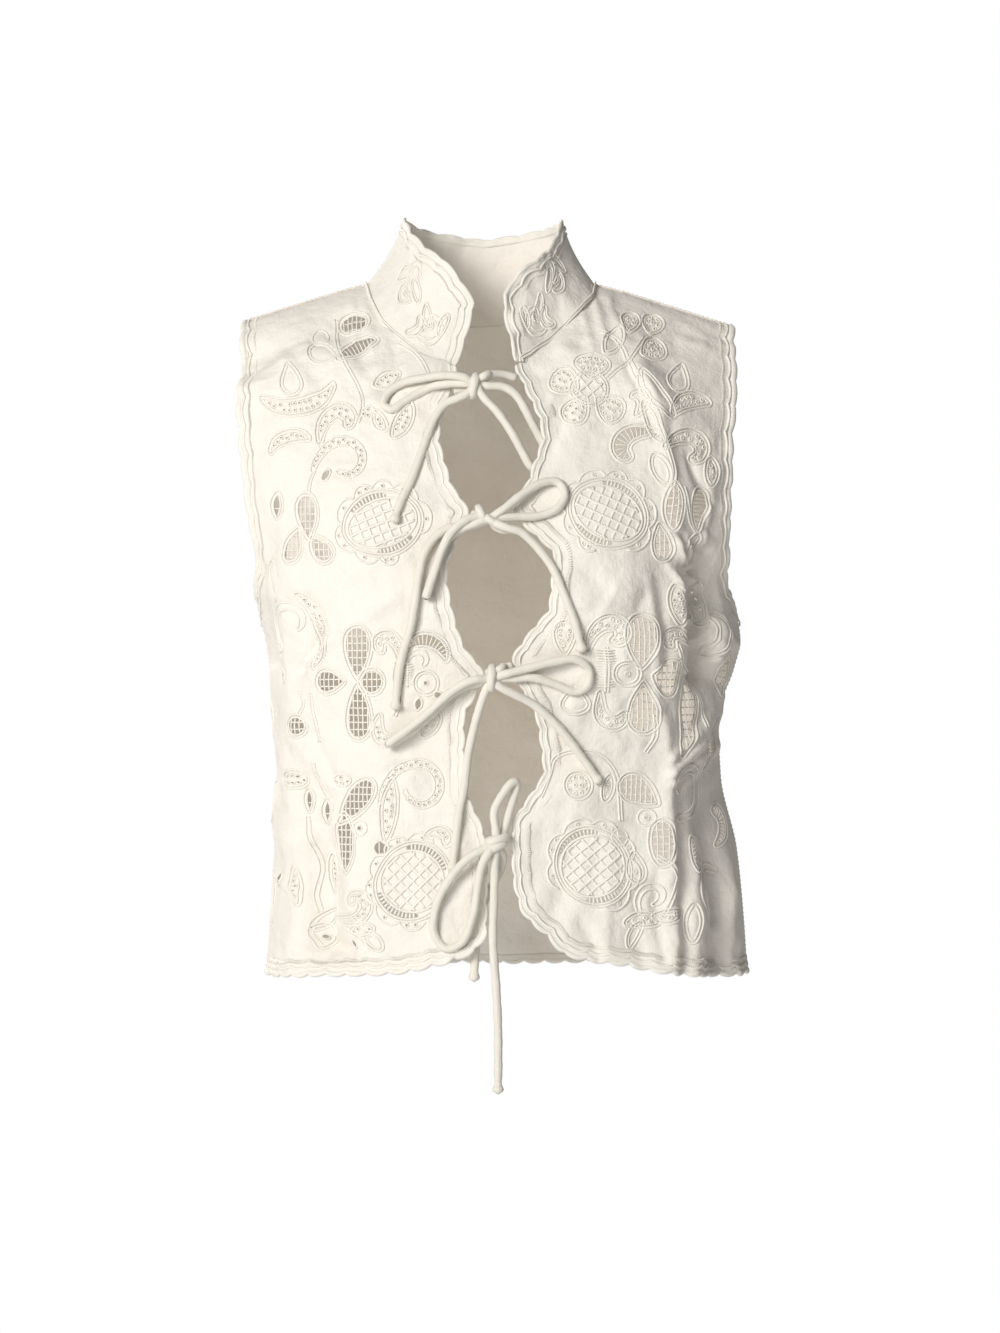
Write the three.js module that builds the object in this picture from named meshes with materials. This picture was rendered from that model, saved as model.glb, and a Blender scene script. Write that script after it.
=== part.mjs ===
// Sleeveless tie-front top with a stand collar, in the hollow form that its cut takes when it is worn.
// Millimetres, +Z up, -Y to the wearer's front, +X to the wearer's left.
// The origin lies between the shoulders, at the height of the two neck points.

import * as THREE from "three";

// ---- driving sizes ----
const CLOTH = 1.6; // linen with its couched cords and facings
const SEAM_GAP = 0.3; // clear space at every seam
const BORDER_WIDTH = 4.7; // scalloped and corded edge, outside the stitched line
const BORDER_PROUD = 0.3; // the border's cord stands this far out of both faces of the cloth
const NECK_CENTRE = -5; // the neckline sits a little to the wearer's right, as it is worn
const NECK_HALF_WIDTH = 79;
const BACK_NECK_DEPTH = 55;
const SHOULDER_SLOPE = 0.32;
const SHOULDER_SOFTNESS = 12;
const SQUARENESS = 2.4; // exponent of the torso's rounded-oval sections
const COLLAR_CORNER_Z = -61; // where the front edges meet the collar
const HEM_Z = -470.5;
const TIE_DIAMETER = 4.8;
const TIE_SIDES = 8;
const TIE_STEP = 3 * TIE_DIAMETER;
const KNOT_HALF = new THREE.Vector3(7.4, 5.8, 6.4);
const KNOT_CLEARANCE = 0.8;
const ROUTE_SAMPLES = 900;

// Torso sections from the hem up to the shoulder ridge.
// z: height at the centre line. slope: share of the shoulder slope that the section follows.
// right, left: from the centre line to the side seam or armhole. forward: how far the armhole
// edge lies towards the front or back, as a share of the depth. front, back: depth at the centre.
const SECTION_COLUMNS = ["z", "slope", "right", "left", "forward", "front", "back"];
const SECTIONS = [
  [HEM_Z, 0.0, 152.0, 178.0, 0.0, 112, 101],
  [-440, 0.0, 150.0, 176.0, 0.0, 111, 99],
  [-390, 0.0, 147.0, 171.0, 0.0, 110, 96],
  [-340, 0.0, 144.5, 160.0, 0.0, 111, 95],
  [-300, 0.0, 147.0, 158.5, 0.0, 113, 98],
  [-265, 0.0, 150.0, 169.5, 0.0, 116, 102],
  [-247, 0.0, 153.0, 173.5, 0.0, 118, 105],
  [-230, 0.0, 156.0, 171.0, 0.0, 119, 107],
  [-227, 0.01, 156.0, 169.5, 0.12, 119, 107.2],
  [-222, 0.02, 155.5, 167.5, 0.21, 119, 107.5],
  [-212, 0.04, 154.5, 164.0, 0.31, 119, 108],
  [-195, 0.1, 154.0, 161.5, 0.42, 118, 109],
  [-160, 0.27, 158.5, 161.5, 0.53, 113, 109],
  [-120, 0.5, 163.0, 162.0, 0.585, 102, 104],
  [-90, 0.68, 165.0, 163.0, 0.6, 91, 96],
  [COLLAR_CORNER_Z, 0.85, 165.5, 165.0, 0.625, 77, 84],
  [-42, 0.93, 165.5, 165.5, 0.66, 60, 71],
  [-25, 1.0, 165.5, 165.5, 0.71, 42, 53],
  [-12, 1.0, 165.5, 165.5, 0.76, 26, 33],
  [-4, 1.0, 165.5, 165.5, 0.79, 12.5, 15],
  [0, 1.0, 165.5, 165.5, 0.8, 0, 0],
];
const UNDERARM_Z = -230;

// Front edge and neckline of each front: height and distance from the centre line.
const EDGE_COLUMNS = ["z", "x"];
const RIGHT_FRONT_EDGE = [
  [-457, -26],
  [-450, -11],
  [-440, -4.5],
  [-420, -4.5],
  [-381, -5.5],
  [-365, -11],
  [-346, -19.5],
  [-300, -19.5],
  [-270, -7],
  [-256, -18],
  [-235, -25.5],
  [-217, -29.5],
  [-204, -31],
  [-183, -25.5],
  [-163, -17],
  [-147, -27],
  [-131, -32],
  [-113, -36],
  [-99, -35],
  [COLLAR_CORNER_Z, -24.5],
  [-58, -36],
  [-52, -47],
  [-44, -57],
  [-30, -71],
  [-20, -76.5],
  [-10, -81],
  [0, NECK_CENTRE - NECK_HALF_WIDTH],
];
const LEFT_FRONT_EDGE = [
  [-451, 51],
  [-442, 44],
  [-424, 26],
  [-400, 21],
  [-372, 20.5],
  [-353, 32],
  [-335, 41.5],
  [-300, 37],
  [-262, 21],
  [-245, 31.5],
  [-227, 45],
  [-211, 46.5],
  [-193, 48.5],
  [-158, 21.5],
  [-145, 30],
  [-131, 35],
  [-112, 40.5],
  [-72, 27],
  [COLLAR_CORNER_Z, 21],
  [-54, 29],
  [-44, 41],
  [-30, 56],
  [-20, 64.5],
  [-10, 71.5],
  [0, NECK_CENTRE + NECK_HALF_WIDTH],
];

// How far the front hem rises above the side hem, by distance from the centre line.
const RISE_COLUMNS = ["x", "rise"];
const RIGHT_HEM_RISE = [
  [26, 13.5],
  [62, 6],
  [101, 3.5],
  [152, 0],
];
const LEFT_HEM_RISE = [
  [51, 19.5],
  [65, 15],
  [92, 11],
  [122, 4.5],
  [178, 0],
];
const HEM_RISE_REACH = 0.16; // share of the panel's height over which the rise fades

// Fullness over each bust point.
const BUST = { x: 82, z: -205, wide: 48, up: 62, down: 74, proud: 10 };

// The largest folds: a straight run on one panel, from (x0, z0) to (x1, z1), with the soft
// half-width of its section and how far it stands out of the cloth (minus: a trough).
const FOLD_COLUMNS = ["x0", "z0", "x1", "z1", "width", "proud"];
const LEFT_FRONT_FOLDS = [
  [96, -30, 126, -150, 12, 4],
  [143, -190, 139, -262, 12, -13],
  [117, -285, 130, -462, 13, 8],
  [143, -330, 152, -462, 14, -9],
  [120, -338, 156, -298, 8, 4],
];
const RIGHT_FRONT_FOLDS = [
  [-104, -26, -88, -48, 13, -3.5],
  [-112, -345, -106, -450, 14, -6],
  [-128, -218, -118, -268, 9, -4],
  [-62, -308, -26, -322, 15, -4],
  [-134, -300, -131, -462, 11, 4],
];
const BACK_FOLDS = [
  [-96, -150, -78, -330, 16, -4],
  [90, -170, 70, -350, 17, -5],
  [-52, -330, -60, -468, 18, 5],
  [12, -300, 8, -468, 20, -5],
  [74, -345, 86, -468, 17, 6],
  [-118, -360, -126, -468, 15, 5],
];

// Collar top edge: turn from the centre front about the neck's own axis, and height.
const COLLAR_COLUMNS = ["turn", "right", "left"];
const COLLAR_TOP = [
  [8, -23, -30],
  [20, -5, -14],
  [31, 7, 0],
  [49, 17, 11],
  [60, 25, 18],
  [90, 40, 39],
  [130, 35, 35],
  [180, 29, 29],
];
const COLLAR_TOP_CENTRE = -3.5;
const COLLAR_TOP_HALF_WIDTH = 55.5;
const COLLAR_TOP_FRONT = 68;
const COLLAR_TOP_BACK = 46;
const COLLAR_RIGHT_END = 9.5; // degrees from the centre front, at the top edge
const COLLAR_LEFT_END = 18.5;
const COLLAR_HOLLOW = 2.5; // the band curves in a little between its base and its top

// Knots of the four bows, and the route of each tie: x, z, and how far it lies out of the cloth.
// A route starts at the front edge, runs through the knot, round the loop, through the knot again
// and down the tail.
const KNOTS = [
  [-8.4, -76, 8],
  [1, -167, 8],
  [2.3, -272.6, 6.9],
  [5.7, -382.6, 6.8],
];
const TIES = [
  {
    name: "tie_1_right",
    knot: 0,
    route: [
      [-22.5, -80.5, 0.5], [-19, -80, 1], [-15, -79, 2.5], [-8.4, -76, 7], [0, -77.5, 7], [10, -78, 6],
      [18, -82.5, 4.5], [25, -93, 2.5], [30, -103, -2], [35, -112, -7], [38.5, -121, -7.5],
      [36, -130, -7.5], [30, -132.5, -6], [24, -123.5, -2.5], [17, -110.5, 1.5], [6.5, -95, 5],
      [-2, -86, 7], [-8.4, -76, 9],
    ],
  },
  {
    name: "tie_1_left",
    knot: 0,
    route: [
      [19, -71.5, 0.5], [11, -69.5, 3.2], [2, -70, 7], [-8.4, -76, 8], [-16, -72, 13], [-28, -70.5, 12.5],
      [-42, -72, 9.5], [-56, -75, 6], [-66.5, -81.5, 3.5], [-69.5, -90, 3.2], [-64, -93, 3.2],
      [-55, -87.5, 3.2], [-45, -81.5, 3.2], [-36, -77.5, 4.8], [-25, -76, 7.5], [-16, -76, 8.7],
      [-8.4, -76, 8], [-13.2, -82.5, 8], [-20, -86, 7], [-28, -89.5, 5], [-34, -97, 3.2],
      [-42.5, -118.4, 3.2], [-50.5, -141, 3.2], [-58, -157, 3.2], [-62.5, -170, 3.2],
    ],
  },
  {
    name: "tie_2_right",
    knot: 1,
    route: [
      [-10, -164, 0.5], [-6, -165, 3], [1, -167, 8], [10, -161.5, 10], [18, -155, 9], [26, -149, 7],
      [36.7, -143, 5], [46.5, -142.5, 3.3], [51.3, -150.5, 3.2], [47, -159.5, 3.2], [35, -165, 3.3],
      [22, -166, 5.5], [12, -166.5, 7.5], [1, -167, 8.5], [8, -171.5, 12.5], [15, -174, 12.5],
      [22, -176, 10], [28.5, -181.5, 7.5], [35, -188.5, 5.2], [43.4, -200.5, 3.2], [50.6, -217, 3.2],
      [57.9, -236, 3.2], [63, -256, 3.2],
    ],
  },
  {
    name: "tie_2_left",
    knot: 1,
    route: [
      [16.5, -173.5, 0.5], [11, -174.5, 2], [6, -173, 3.2], [1, -167, 8], [-8, -166, 11], [-17, -170, 12.5],
      [-25, -178, 11.5], [-31, -191, 9.5], [-36, -206, 9], [-40, -217.5, 8], [-40.5, -218, 5],
      [-37, -207, 3.2], [-32, -193, 3.2], [-26, -181, 4.5], [-18, -174.5, 8.5], [-9, -171, 10],
      [1, -167, 8.5], [-8, -171.5, 3.2], [-14, -172, 3.5], [-22, -172.5, 3.5], [-31.4, -176.5, 3.8],
      [-40.5, -187.5, 3.2], [-45.3, -204, 3.2], [-48, -224, 3.2], [-51, -240, 3.2], [-56, -256, 3.2],
      [-59.5, -275, 3.2], [-61.2, -294.4, 3.2],
    ],
  },
  {
    name: "tie_3_right",
    knot: 2,
    route: [
      [0.5, -268, 1], [1.5, -270, 3.2], [2.3, -272.6, 7], [12, -270, 10], [27, -266, 8], [43.4, -262, 6],
      [58, -260.3, 4.5], [67, -266.5, 3.3], [66.5, -277.5, 3.3], [58.6, -281.7, 3.3], [45, -276.8, 3.3],
      [30, -272.5, 5], [18, -273, 6], [10, -273, 7], [2.3, -272.6, 8.5], [9, -279, 9.5],
      [16.9, -283, 8], [25, -287, 6], [33, -292, 4.5], [48.7, -307, 3.2], [62.6, -325, 3.2],
      [75.2, -342.8, 3.2],
    ],
  },
  {
    name: "tie_3_left",
    knot: 2,
    route: [
      [16.1, -264.3, 0.5], [12, -266, 2], [2.3, -272.6, 7.5], [-7, -273.5, 12], [-14, -275.5, 12],
      [-25, -282.5, 10.5], [-37.5, -294, 9.2], [-51.5, -305.5, 9], [-63, -314, 8.5], [-65.5, -316.5, 6],
      [-62, -315, 3.2], [-51, -308, 3.2], [-37.5, -297, 3.2], [-25, -284.5, 3.2], [-14, -278, 5],
      [-6, -276, 6.5], [2.3, -272.6, 8.5], [-1, -280.5, 8], [-3.5, -287, 6.5], [-8.5, -304, 3.3],
      [-13, -325, 3.2], [-15.5, -346, 3.2], [-18.8, -362, 3.2], [-21, -380, 3.2], [-23.5, -401.7, 3.2],
    ],
  },
  {
    name: "tie_4_right",
    knot: 3,
    route: [
      [1.5, -380, 2], [3, -381, 3.2], [5.7, -382.6, 8], [5.5, -373, 9.5], [4.5, -361, 9], [10.5, -349, 9],
      [17, -341.5, 7.5], [19.5, -343, 5], [16.5, -354, 3.5], [13.5, -365, 3.5], [11, -374, 4.5],
      [5.7, -382.6, 8], [10, -389.5, 3], [9.5, -397.5, -2.5], [5, -408, -7], [-1, -419, -8], [-5, -435, -8],
      [-8, -455, -8], [-9, -475, -7.5],
    ],
  },
  {
    name: "tie_4_left",
    knot: 3,
    route: [
      [14.5, -380, 1.5], [13, -380.5, 3], [5.7, -382.6, 7.5], [-3, -386, 10], [-14, -393, 10],
      [-26, -407.5, 9.6], [-34, -424, 6], [-35.5, -442, 3.5], [-27.5, -452, 3.3], [-17, -448, 4.5],
      [-9, -428, 5.2], [-6, -408, 7.5], [-3, -395, 11], [1, -388, 12.5], [5.7, -382.6, 8.5],
      [5.2, -391.5, 8], [4.8, -402, 5.5], [4.3, -420, 3], [3.7, -448, 1.5], [5.7, -477, 1], [7, -506, 0.5],
      [7, -549, 0.5],
    ],
  },
];

// ---- colours ----
const LINEN = { color: 0xefe9dc, roughness: 0.86, metalness: 0.0 };
const BORDER_CORD = { color: 0xf2ecdf, roughness: 0.8, metalness: 0.0 };
const TIE_LINEN = { color: 0xe9e6d8, roughness: 0.78, metalness: 0.0 };

// ---- tables and curves ----

// A column of a table, by its name.
function column(columns, rows, name) {
  const index = columns.indexOf(name);
  return rows.map((row) => row[index]);
}

// Smooth curve through (keys, values), keys rising, that never overshoots between two of them.
function smooth(keys, values) {
  const last = keys.length - 1;
  const rise = [];
  for (let k = 0; k < last; k += 1) {
    rise.push((values[k + 1] - values[k]) / (keys[k + 1] - keys[k]));
  }
  const slopes = keys.map((_, k) => {
    if (k === 0) return rise[0];
    if (k === last) return rise[last - 1];
    const before = rise[k - 1];
    const after = rise[k];
    return before * after <= 0 ? 0 : (2 * before * after) / (before + after);
  });
  return (key) => {
    const at = Math.min(Math.max(key, keys[0]), keys[last]);
    let k = 0;
    while (k < last - 1 && at > keys[k + 1]) k += 1;
    const span = keys[k + 1] - keys[k];
    const u = (at - keys[k]) / span;
    const v = 1 - u;
    const ends = values[k] * v * v * (1 + 2 * u) + values[k + 1] * u * u * (1 + 2 * v);
    return ends + span * u * v * (slopes[k] * v - slopes[k + 1] * u);
  };
}

function smoothStep(from, to, at) {
  const u = Math.min(Math.max((at - from) / (to - from), 0), 1);
  return u * u * (3 - 2 * u);
}

function lerp(a, b, share) {
  return a + (b - a) * share;
}

// Parameter between low and high where a rising function reaches the wanted value.
function solve(rising, wanted, low, high) {
  let a = low;
  let b = high;
  for (let step = 0; step < 50; step += 1) {
    const middle = (a + b) / 2;
    if (rising(middle) < wanted) a = middle;
    else b = middle;
  }
  return (a + b) / 2;
}

// ---- the torso's surface ----

// t runs from 0 at the hem to 1 on the shoulder ridge, in step with the length of the front profile.
const sectionZ = column(SECTION_COLUMNS, SECTIONS, "z");
const sectionFront = column(SECTION_COLUMNS, SECTIONS, "front");
const sectionT = [0];
for (let k = 1; k < SECTIONS.length; k += 1) {
  const step = Math.hypot(sectionZ[k] - sectionZ[k - 1], sectionFront[k] - sectionFront[k - 1]);
  sectionT.push(sectionT[k - 1] + step);
}
const profileLength = sectionT[sectionT.length - 1];
sectionT.forEach((length, k) => {
  sectionT[k] = length / profileLength;
});
const section = {};
SECTION_COLUMNS.forEach((name) => {
  section[name] = smooth(sectionT, column(SECTION_COLUMNS, SECTIONS, name));
});
const heightToT = smooth(sectionZ, sectionT);
const T_UNDERARM = heightToT(UNDERARM_Z);
const T_COLLAR = heightToT(COLLAR_CORNER_Z);

const RIGHT = -1;
const LEFT = 1;
const FRONT = -1;
const BACK = 1;

function outerX(hand, t) {
  return hand === RIGHT ? section.right(t) : section.left(t);
}

// Half-width of the whole oval, of which the armhole cuts off the side.
function ovalHalfWidth(hand, t) {
  const cut = 1 - section.forward(t) ** SQUARENESS;
  return outerX(hand, t) / cut ** (1 / SQUARENESS);
}

// Turn of the section at the side seam or the armhole edge.
function outerTurn(t) {
  return Math.acos(section.forward(t) ** (SQUARENESS / 2));
}

function turnAtX(hand, t, x) {
  const share = Math.min(Math.abs(x) / ovalHalfWidth(hand, t), 1);
  return Math.asin(share ** (SQUARENESS / 2));
}

function shoulderDrop(x) {
  const past = Math.abs(x - NECK_CENTRE) - NECK_HALF_WIDTH;
  const soft = (past + Math.hypot(past, SHOULDER_SOFTNESS)) / 2;
  return SHOULDER_SLOPE * soft;
}

function bustProud(x, z) {
  const high = z > BUST.z ? BUST.up : BUST.down;
  const across = (Math.abs(x) - BUST.x) / BUST.wide;
  return BUST.proud * Math.exp(-(across ** 2) - ((z - BUST.z) / high) ** 2);
}

const rightHemRise = smooth(
  column(RISE_COLUMNS, RIGHT_HEM_RISE, "x"),
  column(RISE_COLUMNS, RIGHT_HEM_RISE, "rise"),
);
const leftHemRise = smooth(
  column(RISE_COLUMNS, LEFT_HEM_RISE, "x"),
  column(RISE_COLUMNS, LEFT_HEM_RISE, "rise"),
);

function hemRise(hand, face, t, x) {
  if (face === BACK) return 0;
  const rise = hand === RIGHT ? rightHemRise(-x) : leftHemRise(x);
  return rise * (1 - smoothStep(0, HEM_RISE_REACH, t));
}

// A point of the smooth torso: x and y on the oval at this turn, z down the shoulder slope.
function torso(hand, face, t, turn) {
  const bend = 2 / SQUARENESS;
  const x = hand * ovalHalfWidth(hand, t) * Math.sin(turn) ** bend;
  const depth = face === FRONT ? section.front(t) : section.back(t);
  const z = section.z(t) - section.slope(t) * shoulderDrop(x) + hemRise(hand, face, t, x);
  const reach = depth * Math.max(Math.cos(turn), 0) ** bend;
  const bust = face === FRONT ? bustProud(x, z) * smoothStep(0, 60, reach) : 0;
  return new THREE.Vector3(x, face * (reach + bust + SEAM_GAP / 2), z);
}

// How far the folds stand out at (x, z): each is a soft ridge along its run, faded at both ends.
function foldHeight(folds, x, z) {
  let height = 0;
  folds.forEach((row) => {
    const [x0, z0, x1, z1, width, proud] = row;
    const length = Math.hypot(x1 - x0, z1 - z0);
    const along = ((x - x0) * (x1 - x0) + (z - z0) * (z1 - z0)) / length;
    const aside = ((x - x0) * (z1 - z0) - (z - z0) * (x1 - x0)) / length;
    const beyond = Math.max(-along, along - length, 0);
    const taper = smoothStep(-0.2 * length, 0.3 * length, along) * Math.exp(-((beyond / width) ** 2));
    height += proud * taper * Math.exp(-((aside / width) ** 2));
  });
  return height;
}

// ---- walls from grids of points ----

// Unit normals of a grid, away from the wearer.
function gridNormals(grid, outward) {
  return grid.map((row, r) =>
    row.map((_, c) => {
      const before = grid[r][Math.max(c - 1, 0)];
      const after = grid[r][Math.min(c + 1, row.length - 1)];
      const below = grid[Math.max(r - 1, 0)][c];
      const above = grid[Math.min(r + 1, grid.length - 1)][c];
      const across = after.clone().sub(before);
      const up = above.clone().sub(below);
      const normal = across.cross(up).normalize();
      return normal.multiplyScalar(outward);
    }),
  );
}

function solidGeometry(points, faces) {
  let volume = 0;
  faces.forEach(([a, b, c]) => {
    volume += points[a].dot(points[b].clone().cross(points[c])) / 6;
  });
  const geometry = new THREE.BufferGeometry();
  const index = faces.flatMap(([a, b, c]) => (volume > 0 ? [a, b, c] : [a, c, b]));
  geometry.setAttribute("position", new THREE.Float32BufferAttribute(points.flatMap((p) => p.toArray()), 3));
  geometry.setIndex(index);
  geometry.computeVertexNormals();
  return geometry;
}

// A wall: the grid as its outer face, the same grid moved in by the thickness, and a rim.
function wallGeometry(grid, normals, thickness) {
  const rows = grid.length;
  const cols = grid[0].length;
  const points = grid.flat().map((p) => p.clone());
  grid.forEach((row, r) => {
    row.forEach((p, c) => {
      points.push(p.clone().addScaledVector(normals[r][c], -thickness));
    });
  });
  const inner = rows * cols;
  const at = (r, c) => r * cols + c;
  const faces = [];
  const quad = (a, b, c, d) => faces.push([a, b, c], [a, c, d]);
  for (let r = 0; r < rows - 1; r += 1) {
    for (let c = 0; c < cols - 1; c += 1) {
      quad(at(r, c), at(r, c + 1), at(r + 1, c + 1), at(r + 1, c));
      quad(inner + at(r, c), inner + at(r + 1, c), inner + at(r + 1, c + 1), inner + at(r, c + 1));
    }
  }
  const rim = [];
  for (let c = 0; c < cols - 1; c += 1) rim.push(at(0, c));
  for (let r = 0; r < rows - 1; r += 1) rim.push(at(r, cols - 1));
  for (let c = cols - 1; c > 0; c -= 1) rim.push(at(rows - 1, c));
  for (let r = rows - 1; r > 0; r -= 1) rim.push(at(r, 0));
  rim.forEach((a, k) => {
    const b = rim[(k + 1) % rim.length];
    quad(a, inner + a, inner + b, b);
  });
  return solidGeometry(points, faces);
}

// A border: a strip carried along an edge of a panel, made from the panel's own points.
// Each stop has the edge point, the normal and the direction away from the panel.
function borderGeometry(stops, closed) {
  const points = [];
  stops.forEach(({ point, normal, away }) => {
    [
      [SEAM_GAP, BORDER_PROUD],
      [SEAM_GAP + BORDER_WIDTH, BORDER_PROUD],
      [SEAM_GAP + BORDER_WIDTH, -CLOTH - BORDER_PROUD],
      [SEAM_GAP, -CLOTH - BORDER_PROUD],
    ].forEach(([out, up]) => {
      points.push(point.clone().addScaledVector(away, out).addScaledVector(normal, up));
    });
  });
  const faces = [];
  const count = stops.length;
  const runs = closed ? count : count - 1;
  for (let k = 0; k < runs; k += 1) {
    const here = 4 * k;
    const next = 4 * ((k + 1) % count);
    for (let side = 0; side < 4; side += 1) {
      const other = (side + 1) % 4;
      faces.push([here + side, next + side, next + other], [here + side, next + other, here + other]);
    }
  }
  if (!closed) {
    const end = 4 * (count - 1);
    faces.push([0, 1, 2], [0, 2, 3], [end, end + 2, end + 1], [end, end + 3, end + 2]);
  }
  return solidGeometry(points, faces);
}

// Stops along an edge. Each edge place is { point, normal, inside }, inside being a panel point
// a little way in from the edge, which tells which side is away.
function edgeStops(places, closed) {
  const count = places.length;
  return places.map(({ point, normal, inside }, k) => {
    const before = closed ? (k + count - 1) % count : Math.max(k - 1, 0);
    const after = closed ? (k + 1) % count : Math.min(k + 1, count - 1);
    const intoHere = point.clone().sub(places[before].point);
    const outOfHere = places[after].point.clone().sub(point);
    const along = intoHere.clone().normalize().add(outOfHere.clone().normalize()).normalize();
    const away = along.clone().cross(normal).normalize();
    if (away.dot(inside.clone().sub(point)) > 0) away.negate();
    const corner = Math.min(intoHere.angleTo(outOfHere) || 0, 2.2);
    const mitre = 1 / Math.max(Math.cos(corner / 2), 0.6);
    return { point, normal, away: away.multiplyScalar(before === k || after === k ? 1 : mitre) };
  });
}

// ---- panels ----

const ROWS_BELOW_UNDERARM = 11;
const ROWS_AT_ARMHOLE = 10;
const ROWS_AT_NECK = 6;
const FRONT_COLUMNS = 14;
const CORNER_CLEARANCE = 0.08; // share of the first row that the front border leaves to the collar's
const UNDERARM_CROWDING = 1.4; // rows lie closer together where the armhole turns
const NECK_STEPS = 6;
const SHOULDER_STEPS = 4;

// Rows of t, with one exactly at the underarm and one at the collar corner.
function rowTs() {
  const rows = [];
  for (let k = 0; k < ROWS_BELOW_UNDERARM; k += 1) rows.push((T_UNDERARM * k) / ROWS_BELOW_UNDERARM);
  for (let k = 0; k < ROWS_AT_ARMHOLE; k += 1) {
    rows.push(lerp(T_UNDERARM, T_COLLAR, (k / ROWS_AT_ARMHOLE) ** UNDERARM_CROWDING));
  }
  for (let k = 0; k <= ROWS_AT_NECK; k += 1) rows.push(lerp(T_COLLAR, 1, k / ROWS_AT_NECK));
  return rows;
}

// Moves a grid out by its folds. Folds fade before the side seam and the shoulder ridge.
function foldedWall(grid, outward, folds, face) {
  const smoothNormals = gridNormals(grid, outward);
  const moved = grid.map((row, r) =>
    row.map((p, c) => {
      const fade = smoothStep(2, 30, Math.abs(p.y));
      return p.clone().addScaledVector(smoothNormals[r][c], fade * foldHeight(folds, p.x, p.z));
    }),
  );
  const normals = gridNormals(moved, outward);
  moved.forEach((row, r) => {
    row.forEach((p, c) => {
      if (face * p.y < SEAM_GAP) normals[r][c].setY(0).normalize();
    });
  });
  return { grid: moved, normals };
}

function frontPanel(hand, edgeTable, folds) {
  const edgeX = smooth(column(EDGE_COLUMNS, edgeTable, "z"), column(EDGE_COLUMNS, edgeTable, "x"));
  const grid = rowTs().map((t) => {
    let x = edgeX(section.z(t));
    for (let pass = 0; pass < 4; pass += 1) {
      const z = section.z(t) - section.slope(t) * shoulderDrop(x) * (t > T_COLLAR ? 0 : 1);
      x = edgeX(z + hemRise(hand, FRONT, t, x));
    }
    const inner = turnAtX(hand, t, x);
    const outer = outerTurn(t);
    const row = [];
    for (let c = 0; c <= FRONT_COLUMNS; c += 1) {
      row.push(torso(hand, FRONT, t, lerp(inner, outer, c / FRONT_COLUMNS)));
    }
    return row;
  });
  return foldedWall(grid, hand, folds, FRONT);
}

// Columns of the back, from the right armhole to the left: closer together beside the neck.
function backColumns() {
  const shoulder = (hand) => {
    const neck = turnAtX(hand, 1, NECK_CENTRE + hand * NECK_HALF_WIDTH) / outerTurn(1);
    return { neck, hand };
  };
  const right = shoulder(RIGHT);
  const left = shoulder(LEFT);
  const columns = [];
  for (let k = SHOULDER_STEPS; k > 0; k -= 1) {
    columns.push({ hand: RIGHT, share: lerp(right.neck, 1, k / SHOULDER_STEPS), neck: null });
  }
  for (let k = -NECK_STEPS; k <= NECK_STEPS; k += 1) {
    const turn = (k / NECK_STEPS) * (Math.PI / 2);
    const x = NECK_CENTRE + NECK_HALF_WIDTH * Math.sin(turn);
    const hand = x < 0 ? RIGHT : LEFT;
    const depth = BACK_NECK_DEPTH * Math.max(Math.cos(turn), 0);
    columns.push({ hand, neck: { x, depth } });
  }
  for (let k = 1; k <= SHOULDER_STEPS; k += 1) {
    columns.push({ hand: LEFT, share: lerp(left.neck, 1, k / SHOULDER_STEPS), neck: null });
  }
  return columns;
}

function backPanel(folds) {
  const rows = rowTs();
  const columns = backColumns().map(({ hand, share, neck }) => {
    if (!neck) return { hand, share, top: 1 };
    const depthAt = (t) => torso(hand, BACK, t, turnAtX(hand, t, neck.x)).y;
    const top = neck.depth > 0.5 ? solve((t) => -depthAt(t), -neck.depth, T_COLLAR, 1) : 1;
    return { hand, share: turnAtX(hand, top, neck.x) / outerTurn(top), top };
  });
  const grid = rows.map((t) =>
    columns.map(({ hand, share, top }) => {
      const stretch = t < T_COLLAR ? t : lerp(T_COLLAR, top, (t - T_COLLAR) / (1 - T_COLLAR));
      return torso(hand, BACK, stretch, share * outerTurn(stretch));
    }),
  );
  return foldedWall(grid, -1, folds, BACK);
}

// ---- edges of panels ----

function place(panel, r, c, insideR, insideC) {
  return { point: panel.grid[r][c], normal: panel.normals[r][c], inside: panel.grid[insideR][insideC] };
}

// From the collar corner down the front edge, then along the hem to the side seam.
function frontAndHemEdge(panel) {
  const places = [];
  const cornerRow = ROWS_BELOW_UNDERARM + ROWS_AT_ARMHOLE;
  for (let r = cornerRow; r > 0; r -= 1) places.push(place(panel, r, 0, r, 1));
  places[0].point = places[0].point.clone().lerp(places[1].point, CORNER_CLEARANCE);
  places.push(place(panel, 0, 0, 1, 1));
  for (let c = 1; c <= FRONT_COLUMNS; c += 1) places.push(place(panel, 0, c, 1, c));
  return places;
}

function backHemEdge(panel) {
  return panel.grid[0].map((_, c) => place(panel, 0, c, 1, c));
}

// Round the armhole: up the front from the underarm, over the shoulder and down the back.
function armholeEdge(front, back, backColumn, backInside) {
  const top = ROWS_BELOW_UNDERARM + ROWS_AT_ARMHOLE + ROWS_AT_NECK;
  const places = [];
  for (let r = ROWS_BELOW_UNDERARM; r < top; r += 1) {
    places.push(place(front, r, FRONT_COLUMNS, r, FRONT_COLUMNS - 1));
  }
  const tip = place(front, top, FRONT_COLUMNS, top, FRONT_COLUMNS - 1);
  tip.point = tip.point.clone().setY(0);
  places.push(tip);
  for (let r = top - 1; r > ROWS_BELOW_UNDERARM; r -= 1) {
    places.push(place(back, r, backColumn, r, backInside));
  }
  const under = places[0];
  under.point = under.point.clone().setY(0);
  under.inside = under.point.clone().add(new THREE.Vector3(0, 0, -10));
  return places;
}

// ---- collar ----

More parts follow.
